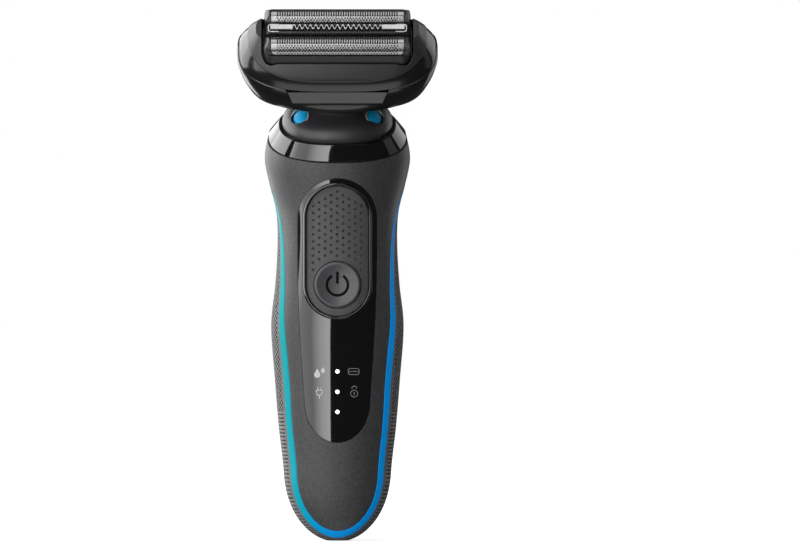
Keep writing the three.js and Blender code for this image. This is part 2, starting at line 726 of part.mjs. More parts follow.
function makeBowl() {
  const slot = barX(8.8, [0, 0], [-9.7, 9.7], 32);
  const pinBores = barX(1.65, [0, 0], [-12.6, 12.6], 16);
  const bosses = barX(3.2, [0, 0], [-13, 13], 24).intersect(headOuter);
  const accentPocket = prismY(makeAccentOutline(GAP), [-20, -8]).subtract(headBody(1.2, [-2, 25]));
  const shell = headOuter.subtract(headCavity).add(bosses).subtract(slot);
  return shell.subtract(aboveArch(...RIM_LINE, -GAP)).subtract(pinBores).subtract(accentPocket);
}

function makeRim() {
  const band = headOuter.subtract(headCavity).subtract(aboveArch(...FRAME_LINE, -GAP));
  return band.intersect(aboveArch(...RIM_LINE, 0));
}

place(head, 'head_bowl', makeBowl(), GLOSS);
place(head, 'head_rim', makeRim(), GLOSS);
const frameBand = headOuter.subtract(headCavity).intersect(aboveArch(...FRAME_LINE, 0));
place(head, 'head_frame', frameBand, SATIN);

const accentSkin = headBody(-0.1, [-2, 25]).subtract(headBody(0.9, [-2.5, 25.5]));
place(head, 'front_accent', prismY(makeAccentOutline(0), [-20, -8]).intersect(accentSkin), GLOSS);
place(head, 'pivot_pin_left', barX(1.5, [0, 0], [-12.3, -4.5], 16), STEEL);
place(head, 'pivot_pin_right', barX(1.5, [0, 0], [4.5, 12.3], 16), STEEL);

// ---------------------------------------------------------------- drive in the head

const BRIDGE = [4.6, 6.4]; // plate under the cassette
const POST_TOP = 19.9;
const SPRING = [12.8, 18.2];
const TINE = [2.1, 3.0]; // the two tines straddle the rocker's ball and miss the core's ears

const guideOuter = prismZ(roundedOutline(19.8, 10.2, 3), [4, 7.2], 4);
const guideInner = prismZ(roundedOutline(17.6, 8.6, 1), [2, 9], 4);
place(head, 'drive_guide', guideOuter.subtract(guideInner), INNER);

function makeBridge() {
  const plate = symmetricBox(16, [-8.2, 8.2], BRIDGE);
  const tines = [-1, 1].map((side) => {
    const [near, far] = span(side * TINE[0], side * TINE[1]);
    return box([near, -1.9, -1.4], [far, 1.9, 5]);
  });
  const posts = [-FOIL_V, FOIL_V].map((v) => {
    const collar = barZ(2.0, [0, v], [SPRING[0] - 1.4, SPRING[0] - GAP], 20);
    return barZ(1, [0, v], [6, POST_TOP], 16).add(collar);
  });
  const trimmerPost = barZ(0.9, [0, 0], [6, 21.4], 12);
  return joined([plate, ...tines, ...posts, trimmerPost]);
}

place(head, 'drive_bridge', makeBridge(), WHITE);
place(head, 'front_cutter_spring', coil(1.75, 0.25, 4, SPRING, [0, -FOIL_V]), STEEL);
place(head, 'rear_cutter_spring', coil(1.75, 0.25, 4, SPRING, [0, FOIL_V]), STEEL);

// ---------------------------------------------------------------- cassette

function makeCassetteFrame() {
  const wall = prismZ(roundedOutline(CASSETTE_X, CASSETTE_V, 3.1), [9, 17.7], 6);
  const inside = prismZ(roundedOutline(20.9, 9.4, 0.6), [8, 20], 3);
  const ledge = prismZ(roundedOutline(21.2, 9.6, 0.8), [9, 10.2], 3);
  const ledgeHole = prismZ(roundedOutline(19.2, 8.3, 0.6), [8, 12], 3);
  return wall.subtract(inside).add(ledge.subtract(ledgeHole));
}

place(head, 'cassette_frame', makeCassetteFrame(), SATIN);

// An arch in Y and Z: a round top of one radius over straight legs.
function archOutline(radius, v, foot) {
  const shape = new THREE.Shape();
  shape.moveTo(v + radius, foot);
  shape.absarc(v, FOIL_U, radius, 0, Math.PI, false);
  shape.lineTo(v - radius, foot);
  return shape;
}

const CARRIER_X = 22.6;
const CARRIER_REACH = 3.9; // half depth of a foil's carrier

function makeFoilCarrier(v) {
  const edges = [v - CARRIER_REACH, v + CARRIER_REACH];
  const block = symmetricBox(CARRIER_X, edges, [19.5, 22.4]);
  const skirt = symmetricBox(20.6, [v - 2.9, v + 2.9], [13.5, 20]);
  const cap = prismX(archOutline(FOIL_R - 0.2, v, 21), [-CARRIER_X, CARRIER_X], 10);
  const bay = symmetricBox(FOIL_X + GAP, [v - FOIL_R - 0.2, v + FOIL_R + 0.2], [20.3, 30]);
  const shaft = symmetricBox(20, [v - 2.2, v + 2.2], [12, 21]);
  const corners = prismZ(roundedOutline(CARRIER_X, FOIL_V + CARRIER_REACH, 3), [10, 30], 6);
  return joined([block, skirt, cap]).subtract(bay).subtract(shaft).intersect(corners);
}

function makeFoil(v) {
  const outside = prismX(archOutline(FOIL_R, v, 20.6), [-FOIL_X, FOIL_X], 12);
  const inside = prismX(archOutline(FOIL_R - 0.3, v, 20), [-FOIL_X - 1, FOIL_X + 1], 12);
  return outside.subtract(inside);
}

function makeCutter(v) {
  const blade = archOutline(FOIL_R - 0.6, v, FOIL_U - 1.2);
  const blades = [];
  for (let i = -8; i <= 8; i += 1) {
    blades.push(prismX(blade, [i * 2.2 - 0.3, i * 2.2 + 0.3], 4));
  }
  const base = symmetricBox(18.3, [v - 1.9, v + 1.9], [18.5, FOIL_U - 0.8]);
  const socket = barZ(1.35, [0, v], [17, POST_TOP + FLOAT + 0.4], 16);
  return joined([base, ...blades]).subtract(socket);
}

[['front', -FOIL_V], ['rear', FOIL_V]].forEach(([side, v]) => {
  place(head, `${side}_foil_carrier`, makeFoilCarrier(v), SATIN);
  place(head, `${side}_foil`, makeFoil(v), STEEL);
  place(head, `${side}_cutter`, makeCutter(v), STEEL);
});

const TRIMMER_TOP = 25.0;
const TRIMMER_REACH = 1.95;

function makeTrimmerCarrier() {
  const block = symmetricBox(CARRIER_X, [-TRIMMER_REACH, TRIMMER_REACH], [20, TRIMMER_TOP]);
  const bay = symmetricBox(20.2, [-1.3, 1.3], [18, TRIMMER_TOP + 1]);
  return block.subtract(bay);
}

// The trimmer's comb: flat pads at the ends and a waved strip between them.
function makeTrimmerComb() {
  const pitch = 1.66;
  const reach = 14.2;
  const strip = new THREE.Shape();
  const steps = 68;
  const halfStrip = 0.28;
  const wave = (x) => 0.8 * Math.cos((2 * Math.PI * x) / pitch);
  strip.moveTo(-reach, wave(-reach) - halfStrip);
  for (let i = 1; i <= steps; i += 1) {
    const x = -reach + (2 * reach * i) / steps;
    strip.lineTo(x, wave(x) - halfStrip);
  }
  for (let i = steps; i >= 0; i -= 1) {
    const x = -reach + (2 * reach * i) / steps;
    strip.lineTo(x, wave(x) + halfStrip);
  }
  const height = [TRIMMER_TOP + GAP, TRIMMER_TOP + 0.8];
  const pads = [-1, 1].map((side) => {
    const [near, far] = span(side * (reach - 0.4), side * 20.6);
    return box([near, -0.95, height[0]], [far, 0.95, height[1]]);
  });
  return joined([prismZ(strip, height), ...pads]);
}

function makeTrimmerBlade() {
  const plate = symmetricBox(18.4, [-0.5, 0.5], [22.6, TRIMMER_TOP - 0.2]);
  const teeth = [];
  for (let i = -8; i <= 8; i += 1) {
    teeth.push(box([i * 1.66 - 0.3, -0.95, 23.9], [i * 1.66 + 0.3, 0.95, TRIMMER_TOP - 0.1]));
  }
  const hub = symmetricBox(2.2, [-1.05, 1.05], [19.6, 23]);
  return joined([plate, hub, ...teeth]).subtract(symmetricBox(1.2, [-2, 2], [19, 23.1]));
}

place(head, 'trimmer_carrier', makeTrimmerCarrier(), SATIN);
place(head, 'trimmer_comb', makeTrimmerComb(), STEEL);
place(head, 'trimmer_blade', makeTrimmerBlade(), STEEL);

export default shaver;
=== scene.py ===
"""The foil shaver's looks: smooth shells, foils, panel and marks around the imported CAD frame."""

import json
import math

import bpy
from mathutils import Matrix, Vector


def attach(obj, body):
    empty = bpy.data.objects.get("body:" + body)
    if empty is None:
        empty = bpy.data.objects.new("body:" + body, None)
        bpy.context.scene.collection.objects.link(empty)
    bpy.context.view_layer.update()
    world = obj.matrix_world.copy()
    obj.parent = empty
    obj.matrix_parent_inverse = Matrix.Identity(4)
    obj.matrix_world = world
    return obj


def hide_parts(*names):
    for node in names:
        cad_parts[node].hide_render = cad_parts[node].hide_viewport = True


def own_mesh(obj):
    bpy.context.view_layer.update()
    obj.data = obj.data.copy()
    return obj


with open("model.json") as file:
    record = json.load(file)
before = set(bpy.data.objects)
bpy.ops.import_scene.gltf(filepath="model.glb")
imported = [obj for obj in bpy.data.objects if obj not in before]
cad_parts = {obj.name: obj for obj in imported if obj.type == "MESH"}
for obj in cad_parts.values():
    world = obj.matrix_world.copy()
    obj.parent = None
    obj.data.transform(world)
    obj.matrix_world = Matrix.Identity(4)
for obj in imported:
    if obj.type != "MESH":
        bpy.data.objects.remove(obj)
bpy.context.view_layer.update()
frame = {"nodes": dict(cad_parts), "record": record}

# ---------- sizes, in millimetres

MM = 0.001
HANDLE_Y = 8.15
WALL = 3.0
HANDLE_POWER = 2.3
BOTTOM_ROUND, BOTTOM_SPAN = 20.8, 21.3
HANDLE_TOP = 137
NECK_Z, NECK_TILT = 125.8, 29
PIVOT_N, HEAD_TILT, HEAD_POWER = 17, 45, 3.2
TRIM = 0.8
LINE = 0.1  # the fine gap between shells
WINDOW_R, WINDOW_TOP = 12.3, 112.2
PAD_R, PAD_TOP = 9.6, 100.3
BEZEL_R, BEZEL_POCKET_R = 10.25, 10.8
BUTTON_Z, BUTTON_R = 79.4, 7.2
LED_Z = (40.1, 46.3, 52.6)
FOIL_V, FOIL_U, FOIL_R, FOIL_X = 6.2, 22.9, 3.2, 20.4
CASSETTE_X, CASSETTE_V = 23.1, 10.3
REACH = 40

HANDLE = Matrix.Scale(MM, 4) @ Matrix.Translation((0, HANDLE_Y, 0))
NECK = HANDLE @ Matrix.Translation((0, 0, NECK_Z)) @ Matrix.Rotation(math.radians(NECK_TILT), 4, "X")
HEAD = (
    NECK
    @ Matrix.Translation((0, 0, PIVOT_N))
    @ Matrix.Rotation(math.radians(HEAD_TILT - NECK_TILT), 4, "X")
)


# ---------- solids


def solid(name, points, faces):
    mesh = bpy.data.meshes.new(name)
    mesh.from_pydata([tuple(point) for point in points], [], faces)
    mesh.update()
    piece = bpy.data.objects.new(name, mesh)
    bpy.context.scene.collection.objects.link(piece)
    return piece


def level_faces(levels, sides, start=0):
    """The walls between closed levels of points that lie one above the other."""
    faces = []
    for row in range(levels - 1):
        low, high = start + row * sides, start + (row + 1) * sides
        for k in range(sides):
            m = (k + 1) % sides
            faces.append((low + k, low + m, high + m, high + k))
    return faces


def sweep_faces(steps, sides, sections):
    """The walls of a section swept in steps. With as many sections as steps it closes on itself."""
    faces = []
    for i in range(steps):
        j = (i + 1) % sections
        for k in range(sides):
            m = (k + 1) % sides
            faces.append((i * sides + k, j * sides + k, j * sides + m, i * sides + m))
    return faces


def circle(radius, sides):
    angles = (2 * math.pi * k / sides for k in range(sides))
    return [(radius * math.cos(angle), radius * math.sin(angle)) for angle in angles]


def combine(piece, tool, operation):
    """Joins, cuts or keeps the overlap of two closed solids, and uses the second one up."""
    modifier = piece.modifiers.new(operation, "BOOLEAN")
    modifier.operation = operation
    modifier.solver = "MANIFOLD"
    modifier.object = tool
    shape = piece.evaluated_get(bpy.context.evaluated_depsgraph_get())
    mesh = bpy.data.meshes.new_from_object(shape)
    piece.modifiers.clear()
    old = piece.data
    piece.data = mesh
    mesh.name = piece.name
    bpy.data.meshes.remove(old)
    drop(tool)
    return piece


def drop(piece):
    mesh = piece.data
    bpy.data.objects.remove(piece)
    bpy.data.meshes.remove(mesh)


def cut(piece, *tools):
    for tool in tools:
        combine(piece, tool, "DIFFERENCE")
    return piece


def keep(piece, *tools):
    for tool in tools:
        combine(piece, tool, "INTERSECT")
    return piece


def join(piece, *tools):
    for tool in tools:
        combine(piece, tool, "UNION")
    return piece


def smooth(points):
    """A smooth curve through (place, value) pairs, as a function of place."""

    def slope(i):
        before, after = points[max(i - 1, 0)], points[min(i + 1, len(points) - 1)]
        return (after[1] - before[1]) / (after[0] - before[0])

    def value(place):
        i = 0
        while i < len(points) - 2 and points[i + 1][0] <= place:
            i += 1
        span = points[i + 1][0] - points[i][0]
        t = min(max((place - points[i][0]) / span, 0), 1)
        bend = t * t * (3 - 2 * t)
        level = points[i][1] * (1 - bend) + points[i + 1][1] * bend
        return level + span * t * (1 - t) * ((1 - t) * slope(i) - t * slope(i + 1))

    return value


def oval(width, front, back, power, back_power, angle):
    behind = math.sin(angle) > 0
    bend = 2 / (back_power if behind else power)
    c, s = math.cos(angle), math.sin(angle)
    across = math.copysign(abs(c) ** bend, c)
    along = math.copysign(abs(s) ** bend, s)
    return across * width, along * (back if behind else front)


def loft(name, levels, power, back_power=None, sides=128, relief=None):
    """A closed loft up Z through (height, half width, front depth, back depth) levels."""
    back_power = back_power or power
    points = []
    for height, width, front, back in levels:
        for k in range(sides):
            x, y = oval(width, front, back, power, back_power, 2 * math.pi * k / sides)
            if relief:
                x, y = relief(x, y, height)
            points.append((x, y, height))
    top = (len(levels) - 1) * sides
    ends = [list(range(sides))[::-1], list(range(top, top + sides))]
    faces = ends[:1] + level_faces(len(levels), sides) + ends[1:]
    return solid(name, points, faces)


def prism(name, outline, low, high, axis):
    """A closed outline pushed from low to high along an axis: X, Y or Z."""
    turn = {
        "X": lambda a, b, c: (c, a, b),
        "Y": lambda a, b, c: (a, c, b),
        "Z": lambda a, b, c: (a, b, c),
    }[axis]
    count = len(outline)
    points = [turn(a, b, low) for a, b in outline] + [turn(a, b, high) for a, b in outline]
    faces = [list(range(count))[::-1], list(range(count, 2 * count))]
    faces += [(i, (i + 1) % count, count + (i + 1) % count, count + i) for i in range(count)]
    area = sum(
        outline[i][0] * outline[(i + 1) % count][1] - outline[(i + 1) % count][0] * outline[i][1]
        for i in range(count)
    )
    if (area < 0) != (axis == "Y"):
        faces = [tuple(reversed(face)) for face in faces]
    return solid(name, points, faces)


def box(name, low, high):
    outline = [(low[0], low[1]), (high[0], low[1]), (high[0], high[1]), (low[0], high[1])]
    return prism(name, outline, low[2], high[2], "Z")


def arc(cx, cy, rx, ry, start, end, steps):
    angles = [math.radians(start + (end - start) * i / steps) for i in range(steps + 1)]
    return [(cx + rx * math.cos(a), cy + ry * math.sin(a)) for a in angles]


def turned(name, profile, sides=64):
    """A lathed solid about Z. The profile runs from the axis at the bottom to the axis on top."""
    inner = profile[1:-1]
    points = [(0, 0, profile[0][1])]
    for radius, height in inner:
        points += [(x, y, height) for x, y in circle(radius, sides)]
    points.append((0, 0, profile[-1][1]))
    top = 1 + (len(inner) - 1) * sides
    faces = []
    for k in range(sides):
        m = (k + 1) % sides
        faces.append((0, 1 + m, 1 + k))
        faces.append((top + k, top + m, len(points) - 1))
    return solid(name, points, faces + level_faces(len(inner), sides, 1))


def rod(name, radius, low, high, sides=48):
    return turned(name, [(0, low), (radius, low), (radius, high), (0, high)], sides)


def moved(piece, matrix):
    piece.data.transform(matrix)
    return piece


def finish_piece(piece, place, body, material, slot, *nodes, sharp=32):
    """Puts a finished solid in the row frame, on its body, in its material."""
    piece.data.transform(place)
    piece.data.update()
    for face in piece.data.polygons:
        face.use_smooth = True
    piece.data.set_sharp_from_angle(angle=math.radians(sharp))
    piece.data.materials.clear()
    piece.data.materials.append(material)
    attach(piece, body)
    if nodes:
        piece.name = nodes[0] + "_visual"
        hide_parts(*nodes)
    return piece


# ---------- the handle's outer shape

widths = smooth([
    (0, 16.3), (20.8, 16.7), (35.7, 18.3), (50.5, 19.5), (67, 20.6), (80, 19.3), (93, 18.6),
    (102, 19.0), (110, 20.9), (118.5, 22.6), (125.8, 21.5), (130, 20.2), (HANDLE_TOP, 18.4),
])
fronts = smooth([
    (0, 11.5), (20, 11.9), (45, 13.4), (67, 14.3), (93, 14.0), (106, 14.6), (117, 15.8),
    (HANDLE_TOP, 15.8),
])
backs = smooth([
    (0, 12.0), (20, 12.6), (45, 14.6), (67, 15.8), (80, 15.2), (93, 14.2), (105, 14.2),
    (117, 15.0), (HANDLE_TOP, 14.4),
])


def handle_level(height, inset):
    below = max(BOTTOM_ROUND - height, 0) / BOTTOM_SPAN
    rounding = math.sqrt(1 - below * below)
    depth = math.sqrt(rounding)
    return (
        height,
        widths(height) * rounding - inset,
        fronts(height) * depth - inset,
        backs(height) * depth - inset,
    )


def handle_body(inset, floor=0.0, sides=192, step=0.9):
    """The handle as one solid, drawn in by an inset, from a floor height up."""
    heights, height = [floor], floor
    while height < HANDLE_TOP:
        height += min(step, 0.12 + 0.09 * height)
        heights.append(min(height, HANDLE_TOP))
    levels = [handle_level(height, inset) for height in heights]
    return loft("handle", levels, HANDLE_POWER, sides=sides)


# (depth, height) points of the joint line between front and rear
SEAM = [
    (-8.2, -8), (-7.6, 10), (-8.1, 30), (-8.9, 50), (-8.9, 66), (-7.4, 84), (-5.4, 98),
    (-1.9, 108), (4.0, 115), (12, 119), (24, 121.8),
]


def catmull(points, steps):
    """A smooth curve through points, with even steps between each two."""
    line = []
    for i in range(len(points) - 1):
        p0, p1 = points[max(i - 1, 0)], points[i]
        p2, p3 = points[i + 1], points[min(i + 2, len(points) - 1)]
        for k in range(steps):
            t = k / steps
            line.append(tuple(
                0.5 * (2 * b + (c - a) * t + (2 * a - 5 * b + 4 * c - d) * t**2
                       + (3 * b - a - 3 * c + d) * t**3)
                for a, b, c, d in zip(p0, p1, p2, p3)
            ))
    return line + [points[-1]]


def behind_seam(offset):
    """Everything behind the joint line between front and rear, moved sideways by an offset."""
    line = catmull(SEAM, 12)
    outline = []
    for i, (y, z) in enumerate(line):
        before, after = line[max(i - 1, 0)], line[min(i + 1, len(line) - 1)]
        run, rise = after[0] - before[0], after[1] - before[1]
        length = math.hypot(run, rise)
        outline.append((y + offset * rise / length, z - offset * run / length))
    outline += [(REACH, 121), (REACH, -8)]
    return prism("seam", outline, -REACH, REACH, "X")


NECK_IN_HANDLE = HANDLE.inverted() @ NECK


def under_collar(gap):
    return moved(box("collar_cut", (-REACH, -120, -160), (REACH, 120, -gap)), NECK_IN_HANDLE)


def frame_outline(x, z, half_x, half_z, radius, steps=8):
    """A rounded rectangle, going round anticlockwise."""
    right, top = x + half_x - radius, z + half_z - radius
    left, bottom = x - half_x + radius, z - half_z + radius
    return (
        arc(right, top, radius, radius, 0, 90, steps) + arc(left, top, radius, radius, 90, 180, steps)
        + arc(left, bottom, radius, radius, 180, 270, steps)
        + arc(right, bottom, radius, radius, 270, 360, steps)
    )


def stadium(radius, low, high, steps=40):
    return arc(0, high, radius, radius, 0, 180, steps) + arc(0, low, radius, radius, 180, 360, steps)


def bezier(a, b, c, d, steps=12):
    return [
        tuple(
            (1 - t) ** 3 * p + 3 * (1 - t) ** 2 * t * q + 3 * (1 - t) * t**2 * r + t**3 * s
            for p, q, r, s in zip(a, b, c, d)
        )
        for t in (k / steps for k in range(1, steps))
    ]


def window_outline(grow):
    top, radius, low = WINDOW_TOP - WINDOW_R, WINDOW_R + grow, 10.1 + grow
    right = bezier((low, 43), (low + 0.6, 52), (radius, 70), (radius, 92), 24)
    left = bezier((-radius, 92), (-radius, 70), (-low - 0.6, 52), (-low, 43), 24)
    return (
        arc(0, 43, low, 12.4 + grow, 180, 360, 40) + right + [(radius, 92)]
        + arc(0, top, radius, radius, 0, 180, 48) + [(-radius, 92)] + left
    )


def front_prism(outline):
    return prism("front", outline, -REACH, -3, "Y")


def handle_core(inset):
    """The handle drawn in, with fewer faces, to cut away what lies deeper than the inset."""
    return handle_body(inset, floor=1.2, sides=128, step=1.5)


def skin(outline, outer, inner):
    """A layer of the front between two depths below the surface, inside an outline."""
    return cut(keep(handle_body(outer), front_prism(outline)), handle_core(inner))


def pocket(outline, depth):
    return cut(front_prism(outline), handle_core(depth))


# ---------- materials


class Wiring:
    """A short way to wire nodes: they are made by type, and body is the node that ends them."""

    def __init__(self, owner, body):
        owner.use_nodes = True
        self.tree = owner.node_tree
        self.body = self.tree.nodes[body]

    def add(self, kind, **settings):
        node = self.tree.nodes.new(kind)
        for key, value in settings.items():
            setattr(node, key, value)
        return node

    def link(self, source, target):
        self.tree.links.new(source, target)

    def ramp(self, source, stops):
        node = self.add("ShaderNodeValToRGB")
        band = node.color_ramp
        while len(band.elements) < len(stops):
            band.elements.new(0.5)
        for element, (place, color) in zip(band.elements, stops):
            element.position = place
            element.color = (*color, 1)
        self.link(source, node.inputs["Fac"])
        return node.outputs["Color"]

    def span(self, source, low, high, start=0.0, end=1.0):
        """A value between start and end, turned into one between low and high."""
        node = self.add("ShaderNodeMapRange")
        node.inputs["From Min"].default_value = start
        node.inputs["From Max"].default_value = end
        node.inputs["To Min"].default_value = low
        node.inputs["To Max"].default_value = high
        self.link(source, node.inputs["Value"])
        return node.outputs["Result"]

    def math(self, operation, first, second=0.0):
        node = self.add("ShaderNodeMath", operation=operation)
        for socket, value in zip(node.inputs, (first, second)):
            if isinstance(value, (int, float)):
                socket.default_value = value
            else:
                self.link(value, socket)
        return node.outputs[0]

    def set(self, **values):
        for key, value in values.items():
            socket = self.body.inputs[key.replace("_", " ")]
            if isinstance(value, (int, float)):
                socket.default_value = value
            else:
                self.link(value, socket)


class Shader(Wiring):
    """A material's wiring, with the patterns that several materials share."""

    def __init__(self, name):
        self.material = bpy.data.materials.new(name)
        super().__init__(self.material, "Principled BSDF")
        self.place = self.add("ShaderNodeTexCoord").outputs["Object"]

    def noise(self, scale, detail=3.0, rough=0.55, place=None):
        node = self.add("ShaderNodeTexNoise")
        node.inputs["Scale"].default_value = scale
        node.inputs["Detail"].default_value = detail
        node.inputs["Roughness"].default_value = rough
        self.link(place or self.place, node.inputs["Vector"])
        return node.outputs["Fac"]

    def nearest(self, value, pitch, offset=0.0):
        """Distance to the nearest of evenly spaced lines, in the value's own unit."""
        m = self.math
        cell = m("FRACT", m("ADD", m("SUBTRACT", m("DIVIDE", value, pitch), offset), 0.5))
        return m("MULTIPLY", m("ABSOLUTE", m("SUBTRACT", cell, 0.5)), pitch)

    def dots(self, first, second, radius):
        """1 inside a round dot, from the distances to its middle along two axes."""
        m = self.math
        apart = m("SQRT", m("ADD", m("POWER", first, 2.0), m("POWER", second, 2.0)))
        return m("LESS_THAN", apart, radius)

    def choose(self, mask, first, second):
        """The first value where the mask is 1, the second where it is 0."""
        m = self.math
        rest = m("MULTIPLY", second, m("SUBTRACT", 1.0, mask))
        return m("ADD", m("MULTIPLY", first, mask), rest)

    def mix(self, factor, first, second):
        """One colour output, turning into a fixed colour as the factor rises to 1."""
        node = self.add("ShaderNodeMix", data_type="RGBA")
        self.link(factor, node.inputs["Factor"])
        self.link(first, node.inputs["A"])
        node.inputs["B"].default_value = (*second, 1)
        return node.outputs["Result"]

    def bump(self, height, strength, distance, edge=0.0):
        node = self.add("ShaderNodeBump")
        node.inputs["Strength"].default_value = strength
        node.inputs["Distance"].default_value = distance
        self.link(height, node.inputs["Height"])
        if edge:
            round_edge = self.add("ShaderNodeBevel", samples=4)
            round_edge.inputs["Radius"].default_value = edge
            self.link(round_edge.outputs["Normal"], node.inputs["Normal"])
        self.link(node.outputs["Normal"], self.body.inputs["Normal"])


def shade(color, factor):
    return tuple(channel * factor for channel in color)


def moulded(name, color, rough, grain, speckle=5200, depth=0.00002, specular=0.5):
    """A moulded plastic: fine spark-eroded grain, faint wear in its gloss, rounded edges."""
    shader = Shader(name)
    fine = shader.noise(speckle, 2.0)
    wide = shader.noise(90, 4.0)
    low, high = shade(color, 1 - grain), shade(color, 1 + grain)
    shader.set(
        Base_Color=shader.ramp(fine, [(0.32, low), (0.68, high)]),
        Roughness=shader.span(wide, rough * 0.9, rough * 1.12),
        Specular_IOR_Level=specular,
    )
    shader.bump(fine, 0.35, depth, 0.0002)
    return shader.material


def polished(name, color, rough, coat=0.6, specular=0.5):
    """A glossy plastic with faint hairline wear."""
    shader = Shader(name)
    wide = shader.noise(60, 5.0)
    fine = shader.noise(3000, 2.0)
    shader.set(
        Base_Color=shader.ramp(wide, [(0.3, shade(color, 0.85)), (0.7, shade(color, 1.15))]),
        Roughness=shader.span(wide, rough * 0.7, rough * 1.3),
        Coat_Weight=coat,
        Coat_Roughness=0.03,
        Specular_IOR_Level=specular,
    )
    shader.bump(fine, 0.02, 0.00001, 0.00015)
    return shader.material


def metal(name, color, rough, stretch=(1, 1, 1)):
    """A drawn or ground metal, with its grain along one axis."""
    shader = Shader(name)
    mapping = shader.add("ShaderNodeMapping")
    mapping.inputs["Scale"].default_value = stretch
    shader.link(shader.place, mapping.inputs["Vector"])
    grain = shader.noise(1800, 4.0, place=mapping.outputs["Vector"])
    shader.set(
        Base_Color=shader.ramp(grain, [(0.3, shade(color, 0.86)), (0.7, shade(color, 1.1))]),
        Roughness=shader.span(grain, rough * 0.75, rough * 1.3),
        Metallic=1.0,
    )
    shader.bump(grain, 0.12, 0.00001, 0.0001)
    return shader.material


def trim_material():
    """The trim runs from teal on the left, through cyan at the bottom, to blue on the right; the
    right end's much brighter blue is painted light, making up for the weak light on that side.
    """
    shader = Shader("trim_gradient")
    axes = shader.add("ShaderNodeSeparateXYZ")
    shader.link(shader.place, axes.inputs["Vector"])
    across = shader.span(axes.outputs["X"], 0.0, 1.0, -0.018, 0.018)
    # Painted light: the stops grow far brighter towards the right, where the lamps are weak, while
    # the teal-to-blue hue is the trim's own.
    stops = [(0, (0.0, 0.27, 0.28)), (0.2, (0.0, 0.28, 0.4)), (0.45, (0.0, 0.3, 0.82)),
             (1, (0.0, 0.34, 0.95))]
    color = shader.ramp(across, stops)
    fine = shader.noise(4000, 2.0)
    shader.set(Base_Color=color, Roughness=shader.span(fine, 0.42, 0.55), Specular_IOR_Level=0.1)
    shader.bump(fine, 0.1, 0.00001, 0.0002)
    return shader.material


# The grip's pattern: staggered pits, and below a height short level ribs.
PIT_PITCH, PIT_ROW, PIT_R, PIT_DEPTH = 1.7, 0.75, 0.4, 0.38
RIB_ROW, RIB_HALF, RIB_HEIGHT = 1.15, 0.72, 0.24
RIBS_BELOW, PLAIN_ABOVE, PLAIN_EDGE = 40, 113, 1.7
ARC_PER_RADIAN, BACK_STRETCH = 17.2, 1.25


def rubber_material():
    """A soft rubber, dull, with painted shade: near-black in its pits and between its ribs."""
    shader = Shader("grip_rubber")
    m = shader.math
    around = shader.add("ShaderNodeAttribute", attribute_name="around").outputs["Fac"]
    rise = shader.add("ShaderNodeAttribute", attribute_name="rise").outputs["Fac"]

    row = m("FLOOR", m("ADD", m("DIVIDE", rise, PIT_ROW), 0.5))
    offset = m("MULTIPLY", m("FLOORED_MODULO", row, 2.0), 0.5)
    columns, rows = shader.nearest(around, PIT_PITCH, offset), shader.nearest(rise, PIT_ROW)
    pits = shader.dots(columns, rows, PIT_R)
    across = m("LESS_THAN", shader.nearest(around, PIT_PITCH), RIB_HALF * 0.95)
    grooves = m("MULTIPLY", across, m("LESS_THAN", shader.nearest(rise, RIB_ROW), RIB_HEIGHT * 0.8))
    # Mask of the pits and rib grooves, where shade is painted in.
    hollow_shade = shader.choose(m("LESS_THAN", rise, RIBS_BELOW), grooves, pits)
    fine = shader.noise(2600, 2.0)
    plain = shader.ramp(fine, [(0.3, (0.085, 0.085, 0.086)), (0.7, (0.11, 0.11, 0.112))])
    shader.set(
        # Painted shade: the pits and grooves are coloured near-black, standing in for the shade in
        # these hollows.
        Base_Color=shader.mix(hollow_shade, plain, (0.006, 0.006, 0.006)),
        Roughness=m("ADD", shader.span(fine, 0.52, 0.64), m("MULTIPLY", hollow_shade, 0.3)),
    )
    shader.bump(fine, 0.3, 0.00003)
    return shader.material


CHARCOAL = moulded("charcoal_satin", (0.034, 0.0345, 0.036), 0.47, grain=0.5, speckle=2400)
RUBBER = rubber_material()
PAD = moulded("pad_rubber", (0.05, 0.05, 0.052), 0.55, grain=0.45, speckle=4200, depth=0.00003)
SATIN = moulded("satin_black", (0.022, 0.022, 0.024), 0.36, grain=0.12, speckle=5200)
BUTTON = moulded("button_satin", (0.05, 0.051, 0.054), 0.36, grain=0.35, speckle=3000)
INNER = moulded("inner_plastic", (0.12, 0.12, 0.125), 0.6, grain=0.08)
WHITE = moulded("white_plastic", (0.72, 0.73, 0.74), 0.45, grain=0.04)
GLOSS = polished("gloss_black", (0.003, 0.003, 0.0033), 0.05)
SHELL = polished("head_gloss", (0.008, 0.008, 0.0085), 0.2, coat=0.15)
# A light grey gloss for the rings round the release buttons' sockets: painted highlight, for the
# bright crescents in the dimples round the buttons.
LIP_HIGHLIGHT = polished("socket_lip_highlight", (0.16, 0.16, 0.165), 0.2)
BLUE = polished("release_blue", (0.0, 0.27, 0.52), 0.42, coat=0.0, specular=0.2)
STEEL = metal("plain_steel", (0.7, 0.7, 0.71), 0.26)
BRIGHT = metal("bright_steel", (0.88, 0.88, 0.89), 0.3, stretch=(0.1, 0.1, 0.1))
BLADE = metal("blade_steel", (0.5, 0.5, 0.52), 0.3, stretch=(0.05, 1, 1))
# A near-black copy of the blade steel: painted shade for the trimmer blade that lies in shadow under
# the comb.
SHADED_BLADE = metal("blade_painted_shade", (0.03, 0.03, 0.032), 0.4)
BRASS = metal("brass_metal", (0.72, 0.5, 0.2), 0.25)
WRAP = polished("cell_wrap", (0.03, 0.14, 0.3), 0.3)
BOARD = moulded("board_green", (0.01, 0.09, 0.04), 0.4, grain=0.25, speckle=900)
ROCKER = moulded("rocker_plastic", (0.5, 0.42, 0.3), 0.5, grain=0.05)
TRIM_BLUE = trim_material()

# ---------- handle shells

